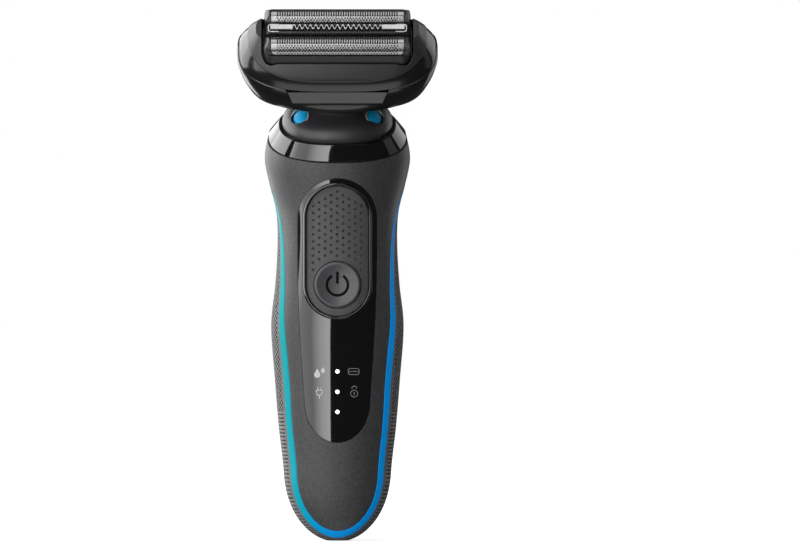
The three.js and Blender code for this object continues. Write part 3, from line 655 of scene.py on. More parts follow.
BOTTOM_ARC = 19.0  # length of the bottom's rounding, for each radian it turns
GRIP = 1.1


def along_skin(height):
    """Turns a height into a distance along the skin, which differs where the bottom rounds off."""
    below = max(BOTTOM_ROUND - height, 0) / BOTTOM_SPAN
    return height if not below else BOTTOM_ROUND - BOTTOM_ARC * math.asin(below)


def from_skin(distance):
    turn = max(BOTTOM_ROUND - distance, 0) / BOTTOM_ARC
    return distance if not turn else BOTTOM_ROUND - BOTTOM_SPAN * math.sin(turn)


def even_handle(inset, floor, sides, step, relief=None):
    """The handle's solid with levels spaced evenly along its skin."""
    low, high = along_skin(floor), HANDLE_TOP
    count = round((high - low) / step)
    heights = [from_skin(low + (high - low) * i / count) for i in range(count + 1)]
    levels = [handle_level(height, inset) for height in heights]
    return loft("handle", levels, HANDLE_POWER, sides=sides, relief=relief)


seam_depth = smooth([(z, y) for y, z in SEAM])


def is_plain(y, height):
    """True on the grip's smooth border: along the seam and near the collar."""
    return y < seam_depth(height) + PLAIN_EDGE or height > PLAIN_ABOVE


def round_the_back(x, y):
    """Distance round the section, without a jump anywhere on the grip."""
    turn = math.atan2(y * BACK_STRETCH, x)
    return (turn + 2 * math.pi if turn < -math.pi / 2 else turn) * ARC_PER_RADIAN


def grip_relief(x, y, height):
    """Round pits on the upper grip that turn into short level ribs towards the bottom."""
    if is_plain(y, height):
        return x, y
    around, rise = round_the_back(x, y), along_skin(height)
    if rise > RIBS_BELOW:
        row = round(rise / PIT_ROW)
        offset = (row % 2) * 0.5
        column = round(around / PIT_PITCH - offset) + offset
        apart = math.hypot(around - column * PIT_PITCH, rise - row * PIT_ROW)
        depth = PIT_DEPTH * max(1 - (apart / PIT_R) ** 4, 0)
    else:
        row = round(rise / RIB_ROW)
        column = round(around / PIT_PITCH)
        aside = abs(around - column * PIT_PITCH) / RIB_HALF
        level = abs(rise - row * RIB_ROW) / RIB_HEIGHT
        depth = PIT_DEPTH * max(1 - aside**6, 0) * max(1 - level**4, 0)
    scale = 1 - depth / max(math.hypot(x, y), 1)
    return x * scale, y * scale


INLET_X, INLET_Y = 5.05, 3.55


def inlet_hole():
    straight = INLET_X - INLET_Y
    right = arc(straight, 0, INLET_Y, INLET_Y, -90, 90, 24)
    left = arc(-straight, 0, INLET_Y, INLET_Y, 90, 270, 24)
    return prism("inlet_hole", right + left, -5, 20, "Z")


def make_front_cover():
    shell = cut(even_handle(0, 0, 224, 0.8), even_handle(WALL, 3.4, 96, 2.5))
    shell = keep(cut(shell, behind_seam(-TRIM - LINE)), under_collar(LINE))
    return cut(
        shell,
        pocket(window_outline(LINE), 1.6),
        pocket(stadium(BEZEL_POCKET_R, BUTTON_Z, PAD_TOP), 2.3),
    )


def make_rear_grip():
    body = even_handle(0, 0, 352, 0.31, grip_relief)
    layer = cut(body, even_handle(GRIP, 1.4, 96, 2.5), inlet_hole())
    return keep(layer, behind_seam(TRIM + LINE), under_collar(LINE))


def map_grip(piece):
    """Notes the pattern's own coordinates on each point, for the rubber's painted shade in its pits
    and grooves.
    """
    layers = [piece.data.attributes.new(name, "FLOAT", "POINT") for name in ("around", "rise")]
    for i, vertex in enumerate(piece.data.vertices):
        x, y, z = vertex.co
        plain = is_plain(y, z)
        layers[0].data[i].value = PIT_PITCH / 2 if plain else round_the_back(x, y)
        layers[1].data[i].value = 0 if plain else along_skin(z)


def make_trim():
    ring = keep(even_handle(-0.04, 0, 224, 0.8), behind_seam(-TRIM))
    return cut(ring, even_handle(1.8, 2.1, 96, 2.5), behind_seam(TRIM), inlet_hole())


finish_piece(make_front_cover(), HANDLE, "handle", CHARCOAL, "charcoal_plastic", "front_cover")
rear_grip = make_rear_grip()
map_grip(rear_grip)
finish_piece(rear_grip, HANDLE, "handle", RUBBER, "grip_rubber", "rear_grip", sharp=60)
finish_piece(make_trim(), HANDLE, "handle", TRIM_BLUE, "blue_trim", "accent_trim")

# ---------- front panel


def front_depth(x, z):
    """How far in front of the centre line the handle's surface lies."""
    share = min(abs(x) / widths(z), 1) ** HANDLE_POWER
    return fronts(z) * (1 - share) ** (1 / HANDLE_POWER)


def front_ring(name, path, profile):
    """A closed ring that follows the front's surface: (outward, height) points round a path."""
    count, points = len(path), []
    for i, (x, z) in enumerate(path):
        before, after = path[i - 1], path[(i + 1) % count]
        run, rise = after[0] - before[0], after[1] - before[1]
        length = math.hypot(run, rise)
        for outward, height in profile:
            px, pz = x + outward * rise / length, z - outward * run / length
            points.append((px, -front_depth(px, pz) - height, pz))
    return solid(name, points, sweep_faces(count, len(profile), count))


def closed(path):
    """Drops points that repeat the one before them."""
    kept = []
    for point in path:
        if not kept or math.dist(point, kept[-1]) > 1e-4:
            kept.append(point)
    if math.dist(kept[0], kept[-1]) < 1e-4:
        kept.pop()
    return kept


def stadium_path(radius, low, high, steps=48, rungs=24):
    """The same outline with its straight sides divided too."""
    right = [(radius, low + (high - low) * i / rungs) for i in range(1, rungs)]
    left = [(-radius, high + (low - high) * i / rungs) for i in range(1, rungs)]
    top = arc(0, high, radius, radius, 0, 180, steps)
    bottom = arc(0, low, radius, radius, 180, 360, steps)
    return closed(top + left + bottom + right)


def make_window():
    layer = skin(window_outline(0), -0.08, 1.3)
    layer = cut(layer, front_prism(stadium(10.75, BUTTON_Z, PAD_TOP)))
    for height in LED_Z:
        layer = cut(layer, front_prism(arc(0, height, 0.72, 0.72, 0, 345, 23)))
    return layer


def make_bezel():
    """A rounded ring round the thumb pad, raised a little over the window."""
    path = stadium_path(BEZEL_R, BUTTON_Z, PAD_TOP)
    crown = arc(0, -0.05, 0.42, 0.5, 0, 180, 14)
    return front_ring("thumb_bezel", path, crown + [(-0.42, -1.9), (0.42, -1.9)])


PAD_DEPTH, PAD_COLUMN, PAD_ROW, PAD_PIT_R = 0.8, 1.87, 1.1, 0.4


def pad_pits():
    """The middles of the pad's staggered pits, clear of its edge and of the button."""
    places = []
    for row in range(-14, 26):
        for column in range(-6, 7):
            if (row + column) % 2:
                continue
            x, z = column * PAD_COLUMN, BUTTON_Z + 4.6 + row * PAD_ROW
            level = min(max(z, BUTTON_Z), PAD_TOP)
            inside = math.dist((x, z), (0, level)) < PAD_R - 0.9
            clear = math.dist((x, z), (0, BUTTON_Z)) > BUTTON_R + 1.0
            if inside and clear and z > BUTTON_Z + 2.6:
                places.append((x, z))
    return places


def make_pad():
    layer = skin(stadium(PAD_R, BUTTON_Z, PAD_TOP), PAD_DEPTH, 2.0)
    layer = cut(layer, front_prism(arc(0, BUTTON_Z, 7.4, 7.4, 0, 355, 71)))
    points, faces, sides = [], [], 10
    for x, z in pad_pits():
        start = len(points)
        surface = -front_depth(x, z) + PAD_DEPTH
        for depth, radius in ((-0.4, PAD_PIT_R * 1.2), (0.6, PAD_PIT_R * 0.8)):
            points += [(x + a, surface + depth, z + b) for a, b in circle(radius, sides)]
        faces.append([start + k for k in range(sides)])
        faces.append([start + sides + k for k in range(sides)][::-1])
        faces += [face[::-1] for face in level_faces(2, sides, start)]
    return cut(layer, solid("pits", points, faces))


def facing_front(height, depth):
    """Places a solid drawn up Z, with its face at 0, on the front at a height."""
    return Matrix.Translation((0, depth, height)) @ Matrix.Rotation(math.radians(90), 4, "X")


BUTTON_FACE = -fronts(BUTTON_Z) + 0.3
RIM_R, DISH = 6.45, 0.8


def button_profile(lift):
    """Half the button's section: a round shoulder and a hollow dish, raised by a lift."""
    shoulder = [
        (RIM_R + (BUTTON_R - RIM_R) * math.sin(a), 0.5 * math.cos(a) - 0.5 + lift)
        for a in (math.radians(step) for step in range(90, -1, -15))
    ]
    dish = [
        (RIM_R * (1 - t / 16), -DISH * (1 - (1 - t / 16) ** 2) + lift) for t in range(1, 16)
    ]
    return [(0, -1.15), (6.9, -1.15), (BUTTON_R, -0.9)] + shoulder + dish + [(0, lift - DISH)]


def button_solid(lift):
    return moved(turned("button", button_profile(lift), 128), facing_front(BUTTON_Z, BUTTON_FACE))


def on_button(name, outline):
    """A thin printed mark that follows the button's dish."""
    piece = keep(prism(name, outline, BUTTON_FACE - 1, BUTTON_FACE + 1, "Y"), button_solid(0.05))
    return cut(piece, button_solid(-0.05))


def band(cx, cz, radius, width, start, end, steps=48):
    outer = arc(cx, cz, radius, radius, start, end, steps)
    inner = arc(cx, cz, radius - width, radius - width, start, end, steps)
    return outer + inner[::-1]


finish_piece(make_window(), HANDLE, "handle", GLOSS, "gloss_black", "display_window")
finish_piece(make_bezel(), HANDLE, "handle", GLOSS, "gloss_black", "thumb_bezel")
finish_piece(make_pad(), HANDLE, "handle", PAD, "grip_rubber", "thumb_pad")
finish_piece(button_solid(0.0), HANDLE, "button", BUTTON, "satin_black", "power_button")
power_marks = [
    on_button("power_mark_ring", band(0, BUTTON_Z, 3.65, 0.8, 122, 418)),
    on_button("power_mark_bar", frame_outline(0, 81.65, 0.42, 1.9, 0.4)),
]


def thin_mark(name, *outlines):
    """Flat marks laid on the window, a hair above its surface."""
    marks = front_prism(outlines[0])
    for outline in outlines[1:]:
        join(marks, front_prism(outline))
    layer = cut(
        handle_body(-0.12, sides=112, step=2.0), handle_body(0.02, floor=1.2, sides=112, step=2.0)
    )
    piece = keep(layer, marks)
    piece.name = name
    return piece


def drop_outline(x, z, half, height):
    """A water drop: a round bottom that runs up to a point."""
    low = arc(x, z, half, half, 160, 380, 24)
    return low + [(x + half * 0.55, z + height * 0.35), (x, z + height - half)]


def bar_outline(x, z, half_x, half_z):
    return [
        (x - half_x, z - half_z), (x + half_x, z - half_z), (x + half_x, z + half_z),
        (x - half_x, z + half_z),
    ]


def hollow_mark(name, outer, inner, *extra):
    """A mark drawn as a line: an outline with its middle cut out, and further strokes."""
    piece = thin_mark(name, outer)
    cut(piece, front_prism(inner))
    for outline in extra:
        join(piece, thin_mark(name, outline))
    return piece


STROKE = 0.26
wash_icon = thin_mark("wash_icon", drop_outline(-6.2, 51.6, 0.98, 2.9))
wash_icon_small = thin_mark("wash_icon_small", drop_outline(-4.45, 52.7, 0.66, 2.0))
charge_icon = hollow_mark(
    "charge_icon",
    arc(-5.55, 46.3, 1.05, 1.25, 180, 360, 24) + [(-4.5, 46.9), (-6.6, 46.9)],
    arc(-5.55, 46.35, 0.78, 0.95, 180, 360, 24) + [(-4.77, 46.65), (-6.33, 46.65)],
    bar_outline(-6.05, 47.35, 0.13, 0.5),
    bar_outline(-5.05, 47.35, 0.13, 0.5),
    bar_outline(-5.55, 44.65, 0.13, 0.5),
)
foil_icon = hollow_mark(
    "foil_icon",
    frame_outline(5.05, 52.6, 1.8, 1.05, 0.75),
    frame_outline(5.05, 52.6, 1.8 - STROKE, 1.05 - STROKE, 0.5),
    bar_outline(5.05, 52.6, 1.7, 0.12),
)
lock_icon = hollow_mark(
    "lock_icon",
    arc(5.2, 45.75, 1.2, 1.2, 0, 352, 44),
    arc(5.2, 45.75, 1.2 - STROKE, 1.2 - STROKE, 0, 352, 44),
    bar_outline(5.2, 45.75, 0.14, 0.5),
    band(5.2, 47.4, 0.85, STROKE, -10, 190, 24),
)
lens_profile = [(0, -0.14), (0.62, -0.14), (0.62, 0.0), (0.5, 0.06), (0.28, 0.1), (0, 0.11)]
lenses = []
for name, height in zip(("lower", "middle", "upper"), LED_Z):
    lens = moved(
        turned("status_lens_" + name, lens_profile, 32),
        facing_front(height, -fronts(height) - 0.2),
    )
    lenses.append(lens)

# ---------- neck


def fine_loft(name, sections, low, high, step, power, back_power, sides):
    """A loft through widely spaced sections, with smooth curves between them."""
    curves = [smooth([(s[0], s[i]) for s in sections]) for i in (1, 2, 3)]
    count = max(round((high - low) / step), 1)
    levels = []
    for i in range(count + 1):
        height = low + (high - low) * i / count
        levels.append((height, *(curve(height) for curve in curves)))
    return loft(name, levels, power, back_power, sides)


def make_collar():
    rounded = [
        (0.1, 20.9, 17.5, 15.9), (0.2, 21.2, 17.8, 16.2), (0.45, 21.35, 17.95, 16.35),
        (2.6, 19.85, 16.55, 15.0), (4.45, 18.45, 15.25, 13.85), (4.7, 18.2, 15.0, 13.6),
        (4.8, 17.9, 14.7, 13.3),
    ]
    bore = [
        (-1, 19.3, 16.0, 14.4), (0.05, 19.3, 16.0, 14.4), (4.0, 17.45, 14.25, 12.85),
        (6, 17.45, 14.25, 12.85),
    ]
    ring = loft("collar_ring", rounded, 2.6, 2.0, 192)
    return cut(ring, loft("bore", bore, 2.6, 2.0, 192))


SHOULDER = [
    (1.4, 16.9, 13.8, 12.4), (4.2, 17.2, 14.0, 12.6), (6.2, 17.0, 13.7, 12.3),
    (7.6, 16.3, 12.7, 11.6), (8.8, 14.8, 11.2, 10.6), (9.8, 12.6, 9.5, 9.3),
    (10.9, 10.7, 8.1, 8.1), (12.2, 9.5, 7.2, 7.2), (14, 9.0, 6.8, 6.8),
]


def bar_x(name, radius, low, high, u=0.0, v=0.0, sides=64):
    turn = Matrix.Translation((0, v, u)) @ Matrix.Rotation(math.radians(90), 4, "Y")
    return moved(rod(name, radius, low, high, sides), turn)


def on_button_axis(side):
    """The place of a release button's outer face, with Z pointing out of it."""
    axis = Vector((side * 0.5, -0.42, 0.76)).normalized()
    turn = Vector((0, 0, 1)).rotation_difference(axis).to_matrix().to_4x4()
    return Matrix.Translation((side * 11.6, -5.3, 9.4)) @ turn


def make_shoulder():
    body = fine_loft("shoulder_cap", SHOULDER, 1.4, 14, 0.25, 2.4, 2.1, 160)
    thin = [(n - 1.5, w - 1.6, f - 1.6, b - 1.6) for n, w, f, b in SHOULDER[:5]]
    cut(body, loft("hollow", thin, 2.4, 2.1, 96))
    barrel = keep(bar_x("barrel", 8.55, -9.2, 9.2, PIVOT_N, sides=128),
                  box("level", (-REACH, -REACH, 8), (REACH, REACH, PIVOT_N + 1.3)))
    join(body, barrel)
    cut(
        body,
        box("bore", (-6.7, -5.9, 0), (6.7, 5.9, 20)),
        bar_x("inside", 7.2, -7.9, 7.9, PIVOT_N),
        bar_x("pin_bore", 1.65, -12, 12, PIVOT_N),
    )
    for side in (-1, 1):
        cut(body, moved(rod("socket", 2.85, -5, 3), on_button_axis(side)))
    return body


def ring(name, radius, profile, sides=72):
    """A closed ring about Z: (outward, height) points of its section."""
    points = []
    for x, y in circle(1, sides):
        for outward, height in profile:
            points.append((x * (radius + outward), y * (radius + outward), height))
    return solid(name, points, sweep_faces(sides, len(profile), sides))


def make_release_button(name, side):
    radius = 2.6
    profile = [(0, -3.0), (1.0, -3.0), (1.0, -2.2), (radius, -2.2), (radius, -0.4)]
    profile += [
        (radius * math.cos(a), -0.4 + 0.3 * radius * math.sin(a))
        for a in (math.radians(step) for step in range(8, 90, 8))
    ]
    profile.append((0, -0.4 + 0.3 * radius))
    return moved(turned(name, profile, 72), on_button_axis(side))


rim_section = arc(0, 0, 0.3, 0.34, 0, 330, 11)
finish_piece(make_collar(), NECK, "handle", GLOSS, "gloss_black", "collar_ring")
finish_piece(make_shoulder(), NECK, "handle", SATIN, "satin_black", "shoulder_cap")
for side, word in ((-1, "left"), (1, "right")):
    name = "release_button_" + word
    finish_piece(
        make_release_button(name, side), NECK, "release_" + word, BLUE, "release_blue", name
    )
    # The ring round each socket is light grey: painted highlight that gives the bright crescents
    # round the buttons.
    socket_ring = moved(ring("socket_ring_" + word, 3.12, rim_section), on_button_axis(side))
    finish_piece(
        moved(socket_ring, Matrix.Translation((0, 0, -0.15))), NECK, "handle", LIP_HIGHLIGHT, "satin_black"
    )

# ---------- head shells

head_half_width = smooth([
    (-3.2, 13.5), (-1, 19), (0.5, 23.2), (3, 26.2), (7, 28.4), (12, 30.3), (16, 30.9),
    (20.5, 28.5), (23, 26.6), (25, 25.1),
])
head_half_depth = smooth([
    (-3.2, 5), (-1, 7.8), (0.5, 10.4), (3, 13), (7, 14.6), (12, 15), (16.5, 13.6),
    (20.5, 11.1), (23, 9.3), (25, 7.2),
])
# Each joint line is an arch seen from the side: its crest and how fast it falls.
RIM_LINE = (16.9, 0.0225)
FRAME_LINE = (22, 0.034)


def head_body(inset=0.0, low=-3.2, high=25.0, sides=224, step=0.35, relief=None):
    count = round((high - low) / step)
    levels = []
    for i in range(count + 1):
        height = low + (high - low) * i / count
        depth = head_half_depth(height) - inset
        levels.append((height, head_half_width(height) - inset, depth, depth))
    return loft("head", levels, HEAD_POWER, sides=sides, relief=relief)


def flat_cut(side):
    """The flat face along the front or rear of the opening's edge."""
    outline = [(side * 10.55, 20.0), (side * 13.6, 15.76), (side * 20, 15.76), (side * 20, 30),
               (side * 10.55, 30)]
    return prism("flat", outline, -REACH, REACH, "X")


def head_shell(inset=0.0, relief=None):
    """The head's outer skin with its flats, hollowed out for the drive and the cassette."""
    piece = cut(head_body(inset, relief=relief), flat_cut(-1), flat_cut(1))
    return cut(piece, head_body(1.8, 2.2, 15, 96, 1.0), opening(0.3))


def above_arch(crest, fall, shift=0.0):
    line = [(y / 2, crest - fall * y * y / 4 + shift) for y in range(-40, 41)]
    return prism("arch", line + [(20, 45), (-20, 45)], -REACH, REACH, "X")


def rounded(half_x, half_y, radius, steps=12):
    return frame_outline(0, 0, half_x, half_y, radius, steps)


def opening(gap):
    return prism("opening", rounded(CASSETTE_X + gap, CASSETTE_V + gap, 3.4), 7.6, 40, "Z")


ACCENT = [(-13.8, 7.1), (13.8, 7.1), (15.4, 11.1), (-15.4, 11.1)]
ACCENT_RECESS = [(-14.0, 6.9), (14.0, 6.9), (16.0, 12.6), (-16.0, 12.6)]
CHIN_X, CHIN_DEPTH = 19, 1.7


def chin(x, y, height):
    """Lets the bowl's front hang a little lower in the middle, over the release buttons."""
    if y >= 0 or abs(x) > CHIN_X or not -3 < height < 6:
        return x, y
    middle = (1 - (x / CHIN_X) ** 2) ** 1.5
    level = math.sin(math.pi * (height + 3) / 9)
    return x, y - CHIN_DEPTH * middle * level


def make_bowl():
    bosses = keep(bar_x("bosses", 3.2, -13, 13), head_body(0.4))
    shell = join(head_shell(relief=chin), bosses)
    accent = cut(prism("accent", ACCENT_RECESS, -20, -8, "Y"), head_body(1.5, -2, 25, 96, 1.0))
    return cut(
        shell,
        bar_x("slot", 8.8, -9.7, 9.7, sides=128),
        above_arch(*RIM_LINE, -LINE),
        bar_x("pin_bore", 1.65, -12.6, 12.6),
        accent,
    )


def make_rim():
    below_frame = cut(head_shell(0.28), above_arch(*FRAME_LINE, -LINE))
    return keep(below_frame, above_arch(*RIM_LINE))


def make_frame():
    return keep(head_shell(), above_arch(*FRAME_LINE))


def make_accent():
    """A leaning strip that bows back towards its ends with the bowl."""
    section = [
        (-12.6, 7.1), (-15.3, 7.1), (-15.45, 7.3), (-14.65, 11.0), (-14.5, 11.1), (-12.6, 11.1)
    ]
    plate = prism("front_accent", section, -REACH, REACH, "X")
    keep(plate, prism("outline", ACCENT, -20, -8, "Y"))
    for vertex in plate.data.vertices:
        vertex.co.y += 0.0011 * abs(vertex.co.x) ** 2.4
    return plate


finish_piece(make_bowl(), HEAD, "head", SHELL, "gloss_black", "head_bowl")
finish_piece(make_rim(), HEAD, "head", SHELL, "gloss_black", "head_rim")
finish_piece(make_frame(), HEAD, "head", SATIN, "satin_black", "head_frame")
finish_piece(make_accent(), HEAD, "head", GLOSS, "gloss_black", "front_accent")

# ---------- cassette

CARRIER_X, CARRIER_REACH = 22.6, 3.9
TRIMMER_TOP, TRIMMER_REACH = 25.0, 1.95


def make_cassette_frame():
    wall = prism("cassette_frame", rounded(CASSETTE_X, CASSETTE_V, 3.1), 9, 17.7, "Z")
    cut(wall, prism("inside", rounded(20.9, 9.4, 0.6), 8, 20, "Z"))
    ledge = prism("ledge", rounded(21.2, 9.6, 0.8), 9, 10.2, "Z")
    return join(wall, cut(ledge, prism("hole", rounded(19.2, 8.3, 0.6), 8, 12, "Z")))


def arch_outline(radius, v, foot, steps=40):
    return [(v + radius, foot)] + arc(v, FOIL_U, radius, radius, 0, 180, steps) + [
        (v - radius, foot)
    ]


def make_carrier(name, v):
    edges = (v - CARRIER_REACH, v + CARRIER_REACH)
    body = box(name, (-CARRIER_X, edges[0], 19.5), (CARRIER_X, edges[1], 22.4))
    cap = prism("cap", arch_outline(FOIL_R - 0.2, v, 21), -CARRIER_X, CARRIER_X, "X")
    join(body, box("skirt", (-20.6, v - 2.9, 13.5), (20.6, v + 2.9, 20)), cap)
    bay_low, bay_high = (-FOIL_X - 0.2, v - 3.4, 20.3), (FOIL_X + 0.2, v + 3.4, 30)
    cut(body, box("bay", bay_low, bay_high), box("shaft", (-20, v - 2.2, 12), (20, v + 2.2, 21)))
    corners = prism("corners", rounded(CARRIER_X, FOIL_V + CARRIER_REACH, 3), 10, 30, "Z")
    keep(body, corners)
    nose = prism("nose", frame_outline(0, 17, CARRIER_X, 9.3, 3.4), -20, 20, "Y")
    return join(keep(body, nose), corner_webs(v))


def make_foil(name, v):
    outside = prism(name, arch_outline(FOIL_R, v, 20.6), -FOIL_X, FOIL_X, "X")
    inside = prism("inside", arch_outline(FOIL_R - 0.15, v, 20), -FOIL_X - 1, FOIL_X + 1, "X")
    foil = keep(cut(outside, inside), sheet_end())
    lay_pattern(foil, v)
    return foil


def sheet_end(inset=0.0):
    """The foil's outline from the front: its lower corners are round."""
    half = FOIL_X - inset
    return prism("sheet_end", frame_outline(0, 31.5, half, 9.4 - inset, 2.8), -20, 20, "Y")


def corner_webs(v):
    """The carrier's skin beside the foil's round corners."""
    skin_arch = prism("webs", arch_outline(FOIL_R, v, 20.3), -FOIL_X - 0.3, FOIL_X + 0.3, "X")
    inner = prism("inner", arch_outline(FOIL_R - 0.3, v, 20), -30, 30, "X")
    upper = box("upper", (-30, -30, 25.2), (30, 30, 40))
    return cut(skin_arch, inner, sheet_end(-0.12), upper)


def lay_pattern(piece, v):
    """Lays a map over an arch in millimetres: along X, and along the curve from its crest."""
    mesh = piece.data
    layer = mesh.uv_layers.new(name="sheet")
    for loop in mesh.loops:
        x, y, z = mesh.vertices[loop.vertex_index].co
        if z > FOIL_U:
            along = math.atan2(y - v, z - FOIL_U) * FOIL_R
        else:
            along = math.copysign(FOIL_R * math.pi / 2 + FOIL_U - z, y - v)
        layer.data[loop.index].uv = (x, along)


# The foil's pattern: staggered holes, slots over the crest, and a plain strip at each end.
HOLE_PITCH, HOLE_ROW, HOLE_R = 0.9, 0.62, 0.235
SLOT_PITCH, SLOT_HALF = 0.75, 0.19
PLAIN_END = 1.75


def sheet_material(name, slots_above):
    """Etched steel sheet on a map in millimetres: slots over the crest, round holes below it."""
    shader = Shader(name)
    axes = shader.add("ShaderNodeSeparateXYZ")
    sheet = shader.add("ShaderNodeUVMap", uv_map="sheet")
    shader.link(sheet.outputs["UV"], axes.inputs["Vector"])
    across, along = axes.outputs["X"], axes.outputs["Y"]
    m = shader.math

    row = m("MODULO", m("ABSOLUTE", m("FLOOR", m("DIVIDE", along, HOLE_ROW))), 2.0)
    shifted = m("ADD", across, m("MULTIPLY", row, HOLE_PITCH / 2))
    columns, rows = shader.nearest(shifted, HOLE_PITCH, 0.5), shader.nearest(along, HOLE_ROW, 0.5)
    holes = shader.dots(columns, rows, HOLE_R)
    height = m("ABSOLUTE", along)
    slots = m("MULTIPLY", m("LESS_THAN", shader.nearest(across, SLOT_PITCH, 0.5), SLOT_HALF),
              m("LESS_THAN", height, slots_above - 0.2))
    dark = shader.choose(m("LESS_THAN", height, slots_above), slots, holes)
    dark = m("MULTIPLY", dark, m("LESS_THAN", m("ABSOLUTE", across), FOIL_X - PLAIN_END))
    fine = shader.noise(2200, 3.0)
    steel = shader.ramp(fine, [(0.3, (0.31, 0.31, 0.315)), (0.7, (0.4, 0.4, 0.405))])
    shader.set(
        Base_Color=shader.mix(dark, steel, (0.004, 0.004, 0.0045)),
        Metallic=m("SUBTRACT", 1.0, dark),
        Roughness=m("ADD", shader.span(fine, 0.2, 0.32), m("MULTIPLY", dark, 0.4)),
    )
    shader.bump(m("SUBTRACT", 1.0, dark), 0.5, 0.0001)
    return shader.material


FOIL = sheet_material("foil_sheet", 1.85)
MESH_PLATE = sheet_material("trimmer_sheet", 0.0)


def make_trimmer_carrier():
    body = box(
        "trimmer_carrier", (-CARRIER_X, -TRIMMER_REACH, 20), (CARRIER_X, TRIMMER_REACH, TRIMMER_TOP)
    )
    ends = prism("ends", frame_outline(0, 20, CARRIER_X, TRIMMER_TOP - 20, 2.6), -20, 20, "Y")
    keep(body, ends)
    return cut(body, box("bay", (-20.2, -1.3, 18), (20.2, 1.3, 30)))


PITCH, COMB_REACH = 1.66, 14.2
TOOTH, STRIP_HALF, COMB_STEPS = 0.82, 0.26, 272


def make_comb():
    """The trimmer's comb: flat pads at the ends and a waved strip of teeth between them."""
    low, high = TRIMMER_TOP + 0.15, TRIMMER_TOP + 0.8
    line = []
    for i in range(COMB_STEPS + 1):
        x = -COMB_REACH + 2 * COMB_REACH * i / COMB_STEPS
        swing = math.cos(2 * math.pi * x / PITCH)
        line.append((x, TOOTH * math.copysign(abs(swing) ** 0.7, swing)))
    outline = [(x, y - STRIP_HALF) for x, y in line]
    outline += [(x, y + STRIP_HALF) for x, y in reversed(line)]
    comb = prism("trimmer_comb", outline, low, high, "Z")
    for side in (-1, 1):
        ends = sorted((side * (COMB_REACH - 0.4), side * 20.6))
        join(comb, box("pad", (ends[0], -0.95, low), (ends[1], 0.95, high)))
    return comb


def make_bracket(name, side):
    """A thin bright strip that wraps the end of the trimmer's pad."""
    width = 0.3
    outer = frame_outline(side * 16.9, -0.1, 4.5, 1.75, 0.9)
    inner = frame_outline(side * 16.9, -0.1, 4.5 - width, 1.75 - width, 0.7)
    shape = prism(name, outer, TRIMMER_TOP - 0.2, TRIMMER_TOP + 0.35, "Z")
    cut(shape, prism("inner", inner, 20, 30, "Z"))
    outside = sorted((side * 18.0, side * 30))
    return keep(shape, box("end", (outside[0], -5, 20), (outside[1], 5, 30)))


def make_trimmer_plate():
    """The perforated strip on the trimmer's front face."""
    plate = box("trimmer_plate", (-18.9, -2.12, 21.4), (18.9, -1.97, 24.7))
    layer = plate.data.uv_layers.new(name="sheet")
    for loop in plate.data.loops:
        x, _, z = plate.data.vertices[loop.vertex_index].co
        layer.data[loop.index].uv = (x, z)
    return plate


SPRING_LOW, SPRING_HIGH, FOIL_TRAVEL = 12.8, 18.2, 1.5


def make_spring(name, v):
    """A coil of four turns that stands on the drive bridge and carries a cutter."""
    radius, wire, turns, steps, sides = 1.75, 0.25, 4, 192, 12
    points = []
    for k in range(steps + 1):
        angle = 2 * math.pi * turns * k / steps
        middle = SPRING_LOW + wire + (SPRING_HIGH - SPRING_LOW - 2 * wire) * k / steps
        for outward, upward in circle(wire, sides):
            r = radius + outward
            points.append((r * math.cos(angle), v + r * math.sin(angle), middle + upward))
    ends = [list(range(sides)), [steps * sides + i for i in reversed(range(sides))]]
    return solid(name, points, sweep_faces(steps, sides, steps + 1) + ends)


finish_piece(
    make_cassette_frame(), HEAD, "cassette", SATIN, "satin_black", "cassette_frame"
)
for word, v in (("front", -FOIL_V), ("rear", FOIL_V)):
    name = word + "_cutter_spring"
    spring = finish_piece(make_spring(name, v), HEAD, "bridge", STEEL, "plain_steel", name)
    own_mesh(spring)
for word, v in (("front", -FOIL_V), ("rear", FOIL_V)):
    body = word + "_float"
    carrier, foil = word + "_foil_carrier", word + "_foil"
    finish_piece(make_carrier(carrier, v), HEAD, body, SATIN, "satin_black", carrier)
    finish_piece(make_foil(foil, v), HEAD, body, FOIL, "foil_steel", foil)
finish_piece(
    make_trimmer_carrier(), HEAD, "trimmer_float", SATIN, "satin_black", "trimmer_carrier"
)
finish_piece(make_comb(), HEAD, "trimmer_float", BRIGHT, "foil_steel", "trimmer_comb")
finish_piece(make_trimmer_plate(), HEAD, "trimmer_float", MESH_PLATE, "foil_steel")
for side, word in ((-1, "left"), (1, "right")):
    bracket = make_bracket("trimmer_bracket_" + word, side)
    finish_piece(bracket, HEAD, "trimmer_float", BRIGHT, "foil_steel")

# ---------- marks on the panel

PRINT = moulded("panel_print", (0.5, 0.51, 0.52), 0.5, grain=0.12)
PRINT_DIM = moulded("panel_print_dim", (0.14, 0.145, 0.15), 0.5, grain=0.12)
INK = moulded("button_ink", (0.002, 0.002, 0.002), 0.65, grain=0.1, specular=0.05)


def glowing(name, color, strength):
    """A small lit lens: white, with a faintly uneven glow."""
    shader = Shader(name)
    uneven = shader.noise(900, 2.0)
    glow = shader.ramp(uneven, [(0.3, shade(color, 0.9)), (0.7, color)])
    shader.set(
        Base_Color=glow,
        Emission_Color=glow,
        Emission_Strength=strength,
        Roughness=shader.span(uneven, 0.3, 0.4),
    )
    return shader.material


LAMP = glowing("lamp_white", (1.0, 1.0, 1.0), 1.6)
for mark in power_marks:
    finish_piece(mark, HANDLE, "button", INK, "gloss_black")
for icon in (wash_icon, wash_icon_small, charge_icon):
    finish_piece(icon, HANDLE, "handle", PRINT, "white_plastic")
for icon in (foil_icon, lock_icon):
    finish_piece(icon, HANDLE, "handle", PRINT_DIM, "white_plastic")
for lens in lenses:
    finish_piece(lens, HANDLE, "handle", LAMP, "lamp_white")

# ---------- pieces kept as designed

